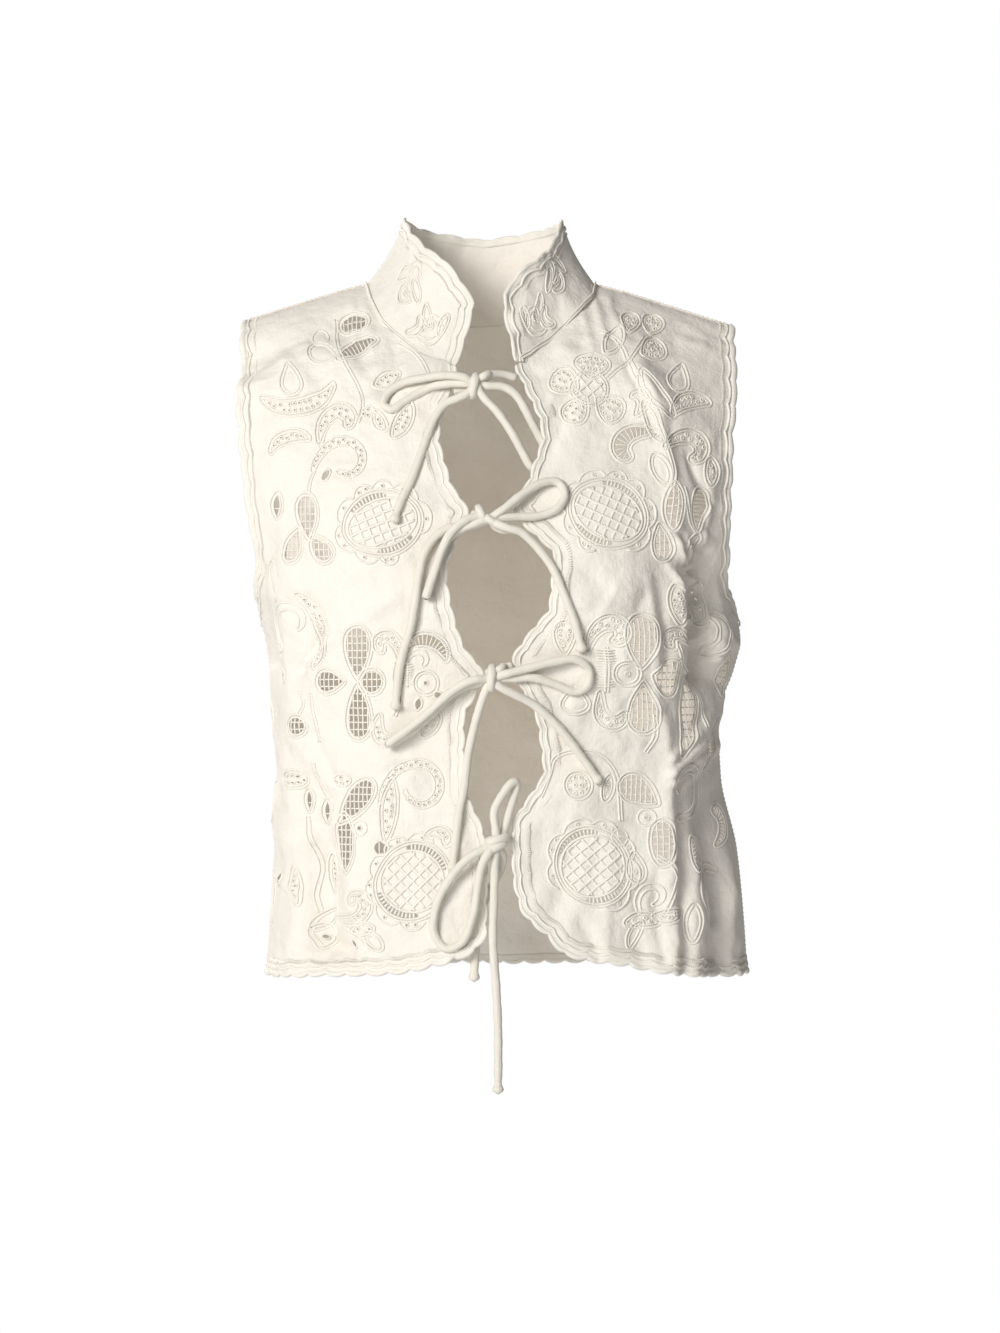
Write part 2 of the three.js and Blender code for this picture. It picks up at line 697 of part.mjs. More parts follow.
// The neckline as sewn: up the right front, round the back and down the left front.
function neckline(rightFront, leftFront, back) {
  const cornerRow = ROWS_BELOW_UNDERARM + ROWS_AT_ARMHOLE;
  const topRow = cornerRow + ROWS_AT_NECK;
  const points = [];
  for (let r = cornerRow; r < topRow; r += 1) points.push(rightFront.grid[r][0]);
  for (let k = 0; k <= 2 * NECK_STEPS; k += 1) points.push(back.grid[topRow][SHOULDER_STEPS + k]);
  for (let r = topRow - 1; r >= cornerRow; r -= 1) points.push(leftFront.grid[r][0]);
  return points;
}

const COLLAR_ROWS = 4;
const collarTurns = column(COLLAR_COLUMNS, COLLAR_TOP, "turn");
const collarRightZ = smooth(collarTurns, column(COLLAR_COLUMNS, COLLAR_TOP, "right"));
const collarLeftZ = smooth(collarTurns, column(COLLAR_COLUMNS, COLLAR_TOP, "left"));

// A point of the collar's top edge, by the turn in degrees from the centre front.
function collarTop(degrees, hand) {
  const turn = THREE.MathUtils.degToRad(degrees);
  const forward = Math.cos(turn);
  const depth = forward > 0 ? COLLAR_TOP_FRONT : COLLAR_TOP_BACK;
  const z = hand === RIGHT ? collarRightZ(degrees) : collarLeftZ(degrees);
  const x = COLLAR_TOP_CENTRE + hand * COLLAR_TOP_HALF_WIDTH * Math.sin(turn);
  return new THREE.Vector3(x, -depth * forward, z);
}

function collar(base) {
  const turnOf = (p) => {
    const depth = p.y < 0 ? COLLAR_TOP_FRONT : BACK_NECK_DEPTH;
    const angle = Math.atan2(Math.abs(p.x - NECK_CENTRE) / NECK_HALF_WIDTH, -p.y / depth);
    return THREE.MathUtils.radToDeg(angle);
  };
  const ends = { [RIGHT]: turnOf(base[0]), [LEFT]: turnOf(base[base.length - 1]) };
  const wanted = { [RIGHT]: COLLAR_RIGHT_END, [LEFT]: COLLAR_LEFT_END };
  const grid = [];
  for (let r = 0; r <= COLLAR_ROWS; r += 1) {
    grid.push(
      base.map((p) => {
        const hand = p.x < NECK_CENTRE ? RIGHT : LEFT;
        const turn = turnOf(p);
        const shift = (wanted[hand] - ends[hand]) * (1 - smoothStep(ends[hand], 90, turn));
        const top = collarTop(turn + shift, hand);
        const height = top.distanceTo(p);
        const share = lerp(SEAM_GAP / height, 1, r / COLLAR_ROWS);
        const spot = p.clone().lerp(top, share);
        const inwards = new THREE.Vector3(NECK_CENTRE - spot.x, -spot.y, 0).normalize();
        return spot.addScaledVector(inwards, COLLAR_HOLLOW * Math.sin(Math.PI * share));
      }),
    );
  }
  return { grid, normals: gridNormals(grid, -1) };
}

// Up the right front end, round the top edge and down the left front end.
function collarEdge(panel) {
  const last = panel.grid[0].length - 1;
  const places = [];
  for (let r = 0; r < COLLAR_ROWS; r += 1) places.push(place(panel, r, 0, r, 1));
  places.push(place(panel, COLLAR_ROWS, 0, COLLAR_ROWS - 1, 1));
  for (let c = 1; c < last; c += 1) places.push(place(panel, COLLAR_ROWS, c, COLLAR_ROWS - 1, c));
  places.push(place(panel, COLLAR_ROWS, last, COLLAR_ROWS - 1, last - 1));
  for (let r = COLLAR_ROWS - 1; r >= 0; r -= 1) places.push(place(panel, r, last, r, last - 1));
  return places;
}

// ---- ties and knots ----

// A point of a tie: its lift is measured out from the closed front of the torso.
function overFront([x, z, lift]) {
  const hand = x < 0 ? RIGHT : LEFT;
  const t = heightToT(z);
  const share = Math.min(Math.abs(x) / ovalHalfWidth(hand, t), 1);
  const reach = section.front(t) * (1 - share ** SQUARENESS) ** (1 / SQUARENESS);
  return new THREE.Vector3(x, -(reach + bustProud(x, z) + lift), z);
}

// Points round a tie's surface, square to its route at this sample.
function tieRing(samples, k) {
  const along = samples[Math.min(k + 1, samples.length - 1)].clone().sub(samples[Math.max(k - 1, 0)]);
  const side = new THREE.Vector3(0, 1, 0).cross(along).normalize();
  const up = along.clone().cross(side).normalize();
  const ring = [samples[k]];
  for (let n = 0; n < TIE_SIDES; n += 1) {
    const turn = (2 * Math.PI * n) / TIE_SIDES;
    const spot = samples[k].clone().addScaledVector(side, (Math.cos(turn) * TIE_DIAMETER) / 2);
    ring.push(spot.addScaledVector(up, (Math.sin(turn) * TIE_DIAMETER) / 2));
  }
  return ring;
}

// The stretches of a route that lie clear of its knot, as lists of points: the lead, the loop and
// the tail. The lead is an empty list when the route begins inside the knot.
function stretchesOutside(route, knot) {
  const curve = new THREE.CatmullRomCurve3(route.map(overFront), false, "centripetal");
  const samples = curve.getSpacedPoints(ROUTE_SAMPLES);
  const reach = KNOT_HALF.clone().addScalar(KNOT_CLEARANCE);
  const stretches = [[]];
  let inside = false;
  samples.forEach((p, k) => {
    const clear = tieRing(samples, k).every((spot) => spot.clone().sub(knot).divide(reach).length() > 1);
    if (clear && inside) stretches.push([]);
    if (clear) stretches[stretches.length - 1].push(p);
    inside = !clear;
  });
  return stretches;
}

function tieGeometry(points) {
  const curve = new THREE.CatmullRomCurve3(points, false, "centripetal");
  const steps = Math.max(2, Math.round(curve.getLength() / TIE_STEP));
  const stops = curve.getSpacedPoints(steps);
  const path = new THREE.CatmullRomCurve3(stops, false, "centripetal");
  const ring = [];
  for (let k = 0; k < TIE_SIDES; k += 1) {
    const turn = (2 * Math.PI * k) / TIE_SIDES;
    ring.push(new THREE.Vector2(Math.cos(turn), Math.sin(turn)).multiplyScalar(TIE_DIAMETER / 2));
  }
  return new THREE.ExtrudeGeometry(new THREE.Shape(ring), { steps, extrudePath: path, bevelEnabled: false });
}

// ---- the garment ----

const group = new THREE.Group();

function addPiece(name, geometry, finish) {
  const mesh = new THREE.Mesh(geometry, new THREE.MeshStandardMaterial(finish));
  mesh.name = name;
  group.add(mesh);
  return mesh;
}

const rightFront = frontPanel(RIGHT, RIGHT_FRONT_EDGE, RIGHT_FRONT_FOLDS);
const leftFront = frontPanel(LEFT, LEFT_FRONT_EDGE, LEFT_FRONT_FOLDS);
const back = backPanel(BACK_FOLDS);
const collarBand = collar(neckline(rightFront, leftFront, back));

addPiece("right_front", wallGeometry(rightFront.grid, rightFront.normals, CLOTH), LINEN);
addPiece("left_front", wallGeometry(leftFront.grid, leftFront.normals, CLOTH), LINEN);
addPiece("back", wallGeometry(back.grid, back.normals, CLOTH), LINEN);
addPiece("collar", wallGeometry(collarBand.grid, collarBand.normals, CLOTH), LINEN);

const lastBackColumn = back.grid[0].length - 1;
const BORDERS = [
  { name: "border_right_front", places: frontAndHemEdge(rightFront), closed: false },
  { name: "border_left_front", places: frontAndHemEdge(leftFront), closed: false },
  { name: "border_back_hem", places: backHemEdge(back), closed: false },
  { name: "border_right_armhole", places: armholeEdge(rightFront, back, 0, 1), closed: true },
  {
    name: "border_left_armhole",
    places: armholeEdge(leftFront, back, lastBackColumn, lastBackColumn - 1),
    closed: true,
  },
  { name: "border_collar", places: collarEdge(collarBand), closed: false },
];
BORDERS.forEach(({ name, places, closed }) => {
  addPiece(name, borderGeometry(edgeStops(places, closed), closed), BORDER_CORD);
});

const knotCentres = KNOTS.map(overFront);
knotCentres.forEach((centre, k) => {
  const knot = addPiece(`knot_${k + 1}`, new THREE.SphereGeometry(1, 14, 10), TIE_LINEN);
  knot.scale.copy(KNOT_HALF);
  knot.position.copy(centre);
});

const STRETCH_NAMES = ["lead", "loop", "tail"];
const SHORTEST_STRETCH = 4;
TIES.forEach(({ name, knot, route }) => {
  stretchesOutside(route, knotCentres[knot]).forEach((points, k) => {
    if (points.length < 4) return;
    const length = points[0].distanceTo(points[points.length - 1]);
    if (k === 0 && length < SHORTEST_STRETCH) return;
    addPiece(`${name}_${STRETCH_NAMES[k]}`, tieGeometry(points), TIE_LINEN);
  });
});

export default group;
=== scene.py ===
"""Sleeveless tie-front top with a stand collar: cutwork linen with corded, scalloped edges.

Every piece is a surface worked out with numpy. Sizes are millimetres, +Z is up and -Y is the
wearer's front; meshes are made in metres. A place on a front is its (x, z) seen from the front,
and a place on the collar is (distance round it from its middle back, height above its seam).
"""

import bpy
import numpy as np
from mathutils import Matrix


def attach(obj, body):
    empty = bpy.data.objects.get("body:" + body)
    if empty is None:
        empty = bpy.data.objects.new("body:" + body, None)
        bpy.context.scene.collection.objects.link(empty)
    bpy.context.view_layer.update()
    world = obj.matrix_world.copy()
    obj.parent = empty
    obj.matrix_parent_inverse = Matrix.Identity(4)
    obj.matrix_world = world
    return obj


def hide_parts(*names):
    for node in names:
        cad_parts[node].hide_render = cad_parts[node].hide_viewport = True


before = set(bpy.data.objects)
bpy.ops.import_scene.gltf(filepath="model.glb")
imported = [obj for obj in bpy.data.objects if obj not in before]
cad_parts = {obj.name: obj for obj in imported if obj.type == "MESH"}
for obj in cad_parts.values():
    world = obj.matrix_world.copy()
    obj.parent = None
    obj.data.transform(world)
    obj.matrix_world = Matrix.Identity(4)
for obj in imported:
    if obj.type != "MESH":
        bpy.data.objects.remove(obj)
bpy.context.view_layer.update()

MM = 0.001
TINY = 1e-9
RIGHT, LEFT = -1, 1

# ---- the body's sizes, as the frame has them ----
NECK_CENTRE = -5.0
NECK_HALF_WIDTH = 79.0
BACK_NECK_DEPTH = 55.0
SHOULDER_SLOPE = 0.32
SHOULDER_SOFTNESS = 12.0
SQUARENESS = 2.4  # power of the rounded oval: 2 would be an ellipse
COLLAR_CORNER_Z = -61.0
HEM_Z = -470.5
UNDERARM_Z = -230.0
CLOTH = 0.9  # thickness
CRUMPLE = 0.0042  # height of the soft unevenness, as a share of its length
CREASE = 0.014  # height of the narrow creases, as a share of theirs
MOST_STRETCH = 1.25  # of the embroidery where the cloth turns away from the front
SEAM_CLEARANCE = 9  # between a motif and the side seam or armhole

# Torso sections from the hem up: height, share of the shoulder slope, right and left half-width,
# how far the armhole edge lies forward, depth of the front and of the back.
SECTIONS = np.array([
    (HEM_Z, 0.0, 152.0, 178.0, 0.0, 112, 101),
    (-440, 0.0, 150.0, 176.0, 0.0, 111, 99),
    (-390, 0.0, 147.0, 171.0, 0.0, 110, 96),
    (-340, 0.0, 144.5, 160.0, 0.0, 111, 95),
    (-300, 0.0, 147.0, 158.5, 0.0, 113, 98),
    (-265, 0.0, 150.0, 169.5, 0.0, 116, 102),
    (-247, 0.0, 153.0, 173.5, 0.0, 118, 105),
    (-230, 0.0, 156.0, 171.0, 0.0, 119, 107),
    (-227, 0.01, 156.0, 169.5, 0.12, 119, 107.2),
    (-222, 0.02, 155.5, 167.5, 0.21, 119, 107.5),
    (-212, 0.04, 154.5, 164.0, 0.31, 119, 108),
    (-195, 0.1, 154.0, 161.5, 0.42, 118, 109),
    (-160, 0.27, 158.5, 161.5, 0.53, 113, 109),
    (-120, 0.5, 163.0, 162.0, 0.585, 102, 104),
    (-90, 0.68, 165.0, 163.0, 0.6, 91, 96),
    (COLLAR_CORNER_Z, 0.85, 165.5, 165.0, 0.625, 77, 84),
    (-42, 0.93, 165.5, 165.5, 0.66, 60, 71),
    (-25, 1.0, 165.5, 165.5, 0.71, 42, 53),
    (-12, 1.0, 165.5, 165.5, 0.76, 26, 33),
    (-4, 1.0, 165.5, 165.5, 0.79, 12.5, 15),
    (0, 1.0, 165.5, 165.5, 0.8, 0, 0),
])

# Front edge and neckline of each front: height, distance from the centre line.
FRONT_EDGES = {
    RIGHT: np.array([
        (-457, -26), (-450, -11), (-440, -4.5), (-420, -4.5), (-381, -5.5), (-365, -11),
        (-346, -19.5), (-300, -19.5), (-270, -7), (-256, -18), (-235, -25.5), (-217, -29.5),
        (-204, -31), (-183, -25.5), (-163, -17), (-147, -27), (-131, -32), (-113, -36), (-99, -35),
        (COLLAR_CORNER_Z, -24.5), (-58, -36), (-52, -47), (-44, -57), (-30, -71), (-20, -76.5),
        (-10, -81), (0, NECK_CENTRE - NECK_HALF_WIDTH),
    ]),
    LEFT: np.array([
        (-451, 51), (-442, 44), (-424, 26), (-400, 21), (-372, 20.5), (-353, 32), (-335, 41.5),
        (-300, 37), (-262, 21), (-245, 31.5), (-227, 45), (-211, 46.5), (-193, 48.5), (-158, 21.5),
        (-145, 30), (-131, 35), (-112, 40.5), (-72, 27), (COLLAR_CORNER_Z, 21), (-54, 29),
        (-44, 41), (-30, 56), (-20, 64.5), (-10, 71.5), (0, NECK_CENTRE + NECK_HALF_WIDTH),
    ]),
}

# How far each front's hem rises above the side hem: distance from the centre line, rise.
HEM_RISES = {
    RIGHT: np.array([(26, 13.5), (62, 6), (101, 3.5), (152, 0)]),
    LEFT: np.array([(51, 19.5), (65, 15), (92, 11), (122, 4.5), (178, 0)]),
}
HEM_RISE_REACH = 0.16

# Fullness over each bust point: x, z, half-width, reach up, reach down, height.
BUST = (82, -205, 48, 62, 74, 10)
BUST_FROM = 60  # the depth of the torso from which the fullness is whole

# Folds: a straight run from (x0, z0) to (x1, z1), half-width, height (minus: a trough).
LEFT_FRONT_FOLDS = np.array([
    (96, -30, 126, -150, 12, 4),
    (146, -188, 150, -272, 11, -17),
    (128, -200, 139, -268, 4.4, 5),
    (136, -196, 147, -276, 4.6, -10),
    (115, -285, 123, -462, 12, 5),
    (148, -330, 159, -462, 13, -10),
    (120, -338, 156, -298, 8, 4),
    (97, -62, 114, -98, 4, 2.2),
    (114, -98, 128, -182, 5, 2.4),
    (72, -10, 79, -46, 3, 1.5),
    (81, -8, 91, -46, 3.2, 1.7),
    (63, -16, 70, -52, 3, 1.3),
    (116, -290, 121, -385, 4, 2.2),
    (121, -385, 128, -450, 4, 2.4),
    (128, -330, 134, -455, 5, -2.2),
    (126, -352, 163, -314, 3.6, 2.6),
    (122, -328, 150, -292, 3.4, -1.8),
    (130, -372, 166, -330, 5, 2.2),
    (84, -372, 78, -455, 6, 1.8),
    (64, -360, 44, -432, 7, -2.4),
    (60, -196, 96, -236, 8, -1.6),
    (52, -222, 104, -214, 7, 1.2),
    (28, -128, 44, -84, 4, 1.8),
    (36, -136, 54, -92, 4, -1.6),
    (150, -240, 166, -300, 6, 3),
    (133, -122, 148, -172, 3, -1.8),
    (108, -206, 112, -292, 3.4, 2.2),
    (116, -208, 118, -262, 3, -2),
    (145, -205, 150, -262, 4, 2.6),
    (139, -380, 147, -462, 6, 3.4),
    (158, -384, 160, -460, 4, -2.6),
    (166, -396, 168, -462, 4.5, 2.2),
    (112, -400, 116, -462, 4, -2.2),
    (88, -208, 74, -232, 3.2, 1.3),
    (62, -306, 100, -318, 5, 1.6),
    (133, -410, 140, -466, 5, 2.4),
    (100, -440, 104, -470, 6, -1.8),
    (60, -430, 74, -456, 5, -2.4),
    (151, -312, 119, -337, 2.6, 3.2),
    (152, -321, 120, -344, 2.5, 2.6),
    (141, -309, 120, -326, 2.6, 2.4),
    (127, -374, 130, -466, 4.6, -4.4),
    (126, -180, 134, -200, 2.2, 3.0),
    (133, -176, 143, -199, 2.0, 2.8),
    (119, -196, 130, -212, 2.4, 2.4),
    (92, -61, 112, -112, 2.6, -2.2),
    (131, -194, 142, -262, 3.6, -4.5),
    (133, -124, 149, -154, 2.6, -2.2),
    (149, -154, 147, -184, 2.8, 2.0),
    (122, -186, 141, -200, 2.8, 2.2),
    (126, -176, 150, -187, 2.6, -3.2),
    (134, -191, 152, -212, 2.8, 3.2),
    (140, -222, 150, -204, 1.8, 1.6),
    (141, -231, 152, -213, 1.8, -1.4),
    (141, -239, 153, -222, 1.8, 1.8),
    (142, -248, 154, -231, 1.8, -1.6),
    (143, -257, 156, -240, 1.8, 1.8),
    (144, -266, 157, -250, 1.8, -1.4),
    (145, -275, 158, -260, 1.9, 1.7),
    (157, -226, 163, -252, 4.5, 3.4),
    (128, -200, 146, -202, 2.6, -3.4),
    (152, -212, 160, -262, 3.4, 2.8),
    (158, -232, 170, -250, 3.0, 2.4),
    (144, -262, 164, -282, 3.0, -2.0),
])
RIGHT_FRONT_FOLDS = np.array([
    (-104, -26, -88, -48, 13, -3.5),
    (-112, -345, -108, -450, 12, -9),
    (-117, -372, -113, -456, 8, -6.5),
    (-122, -218, -116, -258, 8, -4),
    (-62, -308, -26, -322, 15, -4),
    (-134, -300, -131, -462, 11, 4),
    (-117, -310, -105, -337, 3.6, -2.2),
    (-126, -316, -108, -346, 4, 1.8),
    (-111, -238, -126, -268, 3.6, -4.0),
    (-105, -246, -121, -263, 3.4, 2.8),
    (-126, -450, -94, -454, 6, -4.0),
    (-149, -222, -146, -262, 4, -3.0),
    (-152, -300, -149, -356, 4.5, 2.6),
    (-146, -386, -152, -452, 4.5, -3.0),
    (-142, -318, -128, -340, 3.6, 2.2),
    (-148, -404, -128, -418, 3.6, 2.0),
    (-66, -40, -58, -72, 4, -1.4),
    (-84, -14, -78, -50, 3.4, 1.5),
    (-93, -12, -90, -44, 3.2, 1.2),
    (-150, -60, -140, -120, 7, 1.8),
    (-138, -452, -104, -458, 4, 2.2),
    (-104, -456, -84, -462, 3.4, -1.8),
    (-62, -436, -30, -448, 5, 1.8),
    (-90, -224, -40, -236, 8, -1.3),
    (-48, -210, -100, -244, 7, 1.4),
    (-92, -318, -52, -338, 6, 1.5),
    (-140, -190, -132, -290, 6, 2.2),
    (-128, -380, -138, -455, 6, -2.6),
])
BACK_FOLDS = np.array([
    (-96, -150, -78, -330, 16, -4),
    (90, -170, 70, -350, 17, -5),
    (-52, -330, -60, -468, 18, 5),
    (12, -300, 8, -468, 20, -5),
    (74, -345, 86, -468, 17, 6),
    (-118, -360, -126, -468, 15, 5),
    (-60, -90, -96, -190, 7, 1.8),
    (58, -80, 104, -176, 8, 2),
    (-30, -70, 6, -110, 9, -1.4),
    (134, -250, 118, -352, 7, -2.6),
    (-134, -236, -120, -330, 7, -2.4),
    (30, -380, 40, -468, 7, 2.2),
    (-92, -390, -86, -468, 7, -2.4),
    (112, -380, 124, -468, 8, -2.8),
    (-24, -400, -28, -468, 8, 1.8),
    (96, -120, 126, -220, 6, 1.8),
    (-150, -300, -143, -440, 8, 2.4),
])

# Collar's top edge: turn in degrees from the centre front, height on the right and on the left.
COLLAR_TOP = np.array([
    (8, -23, -30), (20, -5, -14), (31, 7, 0), (49, 17, 11), (60, 25, 18), (90, 40, 39),
    (130, 35, 35), (180, 29, 29),
])
COLLAR_TOP_CENTRE = -3.5
COLLAR_TOP_HALF_WIDTH = 55.5
COLLAR_TOP_FRONT = 68.0
COLLAR_TOP_BACK = 46.0
COLLAR_ENDS = {RIGHT: 9.5, LEFT: 18.5}
COLLAR_HOLLOW = 2.5

# ---- the ties, in metres: x, z and how far each point lies out of the cloth ----
TIE_DIAMETER = 0.0048
TIE_FULLNESS = 1.18  # how much fatter than its drawn size the soft cord looks
KNOTS = np.array([(-0.0084, -0.076, 0.008), (0.001, -0.167, 0.008), (0.0023, -0.2726, 0.0069),
                  (0.0057, -0.3826, 0.0068)])
TIES = [
    ("tie_1_right", 0, [
        (-0.0225, -0.0805, 0.0005), (-0.019, -0.08, 0.001), (-0.015, -0.079, 0.0025),
        (-0.0084, -0.076, 0.007), (0.0, -0.0775, 0.007), (0.01, -0.078, 0.006),
        (0.018, -0.0825, 0.0045), (0.025, -0.093, 0.0025), (0.03, -0.103, -0.002),
        (0.035, -0.112, -0.007), (0.0385, -0.121, -0.0075), (0.036, -0.13, -0.0075),
        (0.03, -0.1325, -0.006), (0.024, -0.1235, -0.0025), (0.017, -0.1105, 0.0015),
        (0.0065, -0.095, 0.005), (-0.002, -0.086, 0.007), (-0.0084, -0.076, 0.009),
    ]),
    ("tie_1_left", 0, [
        (0.019, -0.0715, 0.0005), (0.011, -0.0695, 0.0032), (0.002, -0.07, 0.007),
        (-0.0084, -0.076, 0.008), (-0.016, -0.072, 0.013), (-0.028, -0.0705, 0.0125),
        (-0.042, -0.072, 0.0095), (-0.056, -0.075, 0.006), (-0.0665, -0.0815, 0.0035),
        (-0.0695, -0.09, 0.0032), (-0.064, -0.093, 0.0032), (-0.055, -0.0875, 0.0032),
        (-0.045, -0.0815, 0.0032), (-0.036, -0.0775, 0.0048), (-0.025, -0.076, 0.0075),
        (-0.016, -0.076, 0.0087), (-0.0084, -0.076, 0.008), (-0.0132, -0.0825, 0.008),
        (-0.02, -0.086, 0.007), (-0.028, -0.0895, 0.005), (-0.034, -0.097, 0.0032),
        (-0.0425, -0.1184, 0.0032), (-0.0505, -0.141, 0.0032), (-0.058, -0.157, 0.0032),
        (-0.0625, -0.17, 0.0032),
    ]),
    ("tie_2_right", 1, [
        (-0.01, -0.164, 0.0005), (-0.006, -0.165, 0.003), (0.001, -0.167, 0.008),
        (0.01, -0.1615, 0.01), (0.018, -0.155, 0.009), (0.026, -0.149, 0.007), (0.0367, -0.143, 0.005),
        (0.0465, -0.1425, 0.0033), (0.0513, -0.1505, 0.0032), (0.047, -0.1595, 0.0032),
        (0.035, -0.165, 0.0033), (0.022, -0.166, 0.0055), (0.012, -0.1665, 0.0075),
        (0.001, -0.167, 0.0085), (0.008, -0.1715, 0.0125), (0.015, -0.174, 0.0125),
        (0.022, -0.176, 0.01), (0.0285, -0.1815, 0.0075), (0.035, -0.1885, 0.0052),
        (0.0434, -0.2005, 0.0032), (0.0506, -0.217, 0.0032), (0.0579, -0.236, 0.0032),
        (0.063, -0.256, 0.0032),
    ]),
    ("tie_2_left", 1, [
        (0.0165, -0.1735, 0.0005), (0.011, -0.1745, 0.002), (0.006, -0.173, 0.0032),
        (0.001, -0.167, 0.008), (-0.008, -0.166, 0.011), (-0.017, -0.17, 0.0125),
        (-0.025, -0.178, 0.0115), (-0.031, -0.191, 0.0095), (-0.036, -0.206, 0.009),
        (-0.04, -0.2175, 0.008), (-0.0405, -0.218, 0.005), (-0.037, -0.207, 0.0032),
        (-0.032, -0.193, 0.0032), (-0.026, -0.181, 0.0045), (-0.018, -0.1745, 0.0085),
        (-0.009, -0.171, 0.01), (0.001, -0.167, 0.0085), (-0.008, -0.1715, 0.0032),
        (-0.014, -0.172, 0.0035), (-0.022, -0.1725, 0.0035), (-0.0314, -0.1765, 0.0038),
        (-0.0405, -0.1875, 0.0032), (-0.0453, -0.204, 0.0032), (-0.048, -0.224, 0.0032),
        (-0.051, -0.24, 0.0032), (-0.056, -0.256, 0.0032), (-0.0595, -0.275, 0.0032),
        (-0.0612, -0.2944, 0.0032),
    ]),
    ("tie_3_right", 2, [
        (0.0005, -0.268, 0.001), (0.0015, -0.27, 0.0032), (0.0023, -0.2726, 0.007),
        (0.012, -0.27, 0.01), (0.027, -0.266, 0.008), (0.0434, -0.262, 0.006),
        (0.058, -0.2603, 0.0045), (0.067, -0.2665, 0.0033), (0.0665, -0.2775, 0.0033),
        (0.0586, -0.2817, 0.0033), (0.045, -0.2768, 0.0033), (0.03, -0.2725, 0.005),
        (0.018, -0.273, 0.006), (0.01, -0.273, 0.007), (0.0023, -0.2726, 0.0085),
        (0.009, -0.279, 0.0095), (0.0169, -0.283, 0.008), (0.025, -0.287, 0.006),
        (0.033, -0.292, 0.0045), (0.0487, -0.307, 0.0032), (0.0626, -0.325, 0.0032),
        (0.0752, -0.3428, 0.0032),
    ]),
    ("tie_3_left", 2, [
        (0.0161, -0.2643, 0.0005), (0.012, -0.266, 0.002), (0.0023, -0.2726, 0.0075),
        (-0.007, -0.2735, 0.012), (-0.014, -0.2755, 0.012), (-0.025, -0.2825, 0.0105),
        (-0.0375, -0.294, 0.0092), (-0.0515, -0.3055, 0.009), (-0.063, -0.314, 0.0085),
        (-0.0655, -0.3165, 0.006), (-0.062, -0.315, 0.0032), (-0.051, -0.308, 0.0032),
        (-0.0375, -0.297, 0.0032), (-0.025, -0.2845, 0.0032), (-0.014, -0.278, 0.005),
        (-0.006, -0.276, 0.0065), (0.0023, -0.2726, 0.0085), (-0.001, -0.2805, 0.008),
        (-0.0035, -0.287, 0.0065), (-0.0085, -0.304, 0.0033), (-0.013, -0.325, 0.0032),
        (-0.0155, -0.346, 0.0032), (-0.0188, -0.362, 0.0032), (-0.021, -0.38, 0.0032),
        (-0.0235, -0.4017, 0.0032),
    ]),
    ("tie_4_right", 3, [
        (0.0015, -0.38, 0.002), (0.003, -0.381, 0.0032), (0.0057, -0.3826, 0.008),
        (0.0055, -0.373, 0.0095), (0.0045, -0.361, 0.009), (0.0105, -0.349, 0.009),
        (0.017, -0.3415, 0.0075), (0.0195, -0.343, 0.005), (0.0165, -0.354, 0.0035),
        (0.0135, -0.365, 0.0035), (0.011, -0.374, 0.0045), (0.0057, -0.3826, 0.008),
        (0.01, -0.3895, 0.003), (0.0095, -0.3975, -0.0025), (0.005, -0.408, -0.007),
        (-0.001, -0.419, -0.008), (-0.005, -0.435, -0.008), (-0.008, -0.455, -0.008),
        (-0.009, -0.475, -0.0075),
    ]),
    ("tie_4_left", 3, [
        (0.0145, -0.38, 0.0015), (0.013, -0.3805, 0.003), (0.0057, -0.3826, 0.0075),
        (-0.003, -0.386, 0.01), (-0.014, -0.393, 0.01), (-0.026, -0.4075, 0.0096),
        (-0.034, -0.424, 0.006), (-0.0355, -0.442, 0.0035), (-0.0275, -0.452, 0.0033),
        (-0.017, -0.448, 0.0045), (-0.009, -0.428, 0.0052), (-0.006, -0.408, 0.0075),
        (-0.003, -0.395, 0.011), (0.001, -0.388, 0.0125), (0.0057, -0.3826, 0.0085),
        (0.0052, -0.3915, 0.008), (0.0048, -0.402, 0.0055), (0.0043, -0.42, 0.003),
        (0.0037, -0.448, 0.0015), (0.0057, -0.477, 0.001), (0.007, -0.506, 0.0005),
        (0.007, -0.549, 0.0005),
    ]),
]

# Bands round each knot: x and z from the knot's middle, tilt of the band in degrees, its
# half-length and half-depth, and the thickness of its cord.
KNOT_BANDS = [
    [(-0.6, -1.4, 80, 6.4, 5.2, 2.9), (6.0, 5.0, 32, 3.0, 3.0, 2.5)],
    [(-4.6, 2.6, 118, 5.0, 4.8, 2.7), (1.4, -1.6, 148, 5.6, 4.9, 2.8)],
    [(0.4, 0.2, 87, 6.6, 5.2, 2.9), (5.8, 6.0, 38, 2.8, 3.0, 2.4)],
    [(0.6, 3.0, 14, 6.0, 5.0, 3.0), (-0.8, -2.6, 27, 6.6, 5.0, 2.8)],
]

# ---- finishes ----

THREAD_PITCH = 0.00056
OVERCAST_PITCH = 0.0011
SPECULAR = 0.28
SHEEN_ROUGHNESS = 0.45

# The light and the dark tint of each finish.
LINEN_TINTS = (0.85, 0.805, 0.738), (0.77, 0.726, 0.658)
CORD_TINTS = (0.93, 0.894, 0.818), (0.85, 0.815, 0.738)
TIE_TINTS = (0.81, 0.775, 0.695), (0.71, 0.675, 0.595)
FLOOR_TINTS = (0.9, 0.9, 0.9), (0.86, 0.86, 0.865)

# Depth in metres and strength of each finish's bumps, from the deepest up.
LINEN_BUMPS = (0.006, 0.5), (0.0006, 0.6), (0.00012, 0.35)
CORD_BUMPS = (0.00024, 0.6), (0.0002, 0.4)
TIE_BUMPS = (0.0012, 0.45), (0.00018, 0.5)
FLOOR_BUMPS = ((0.002, 0.1),)

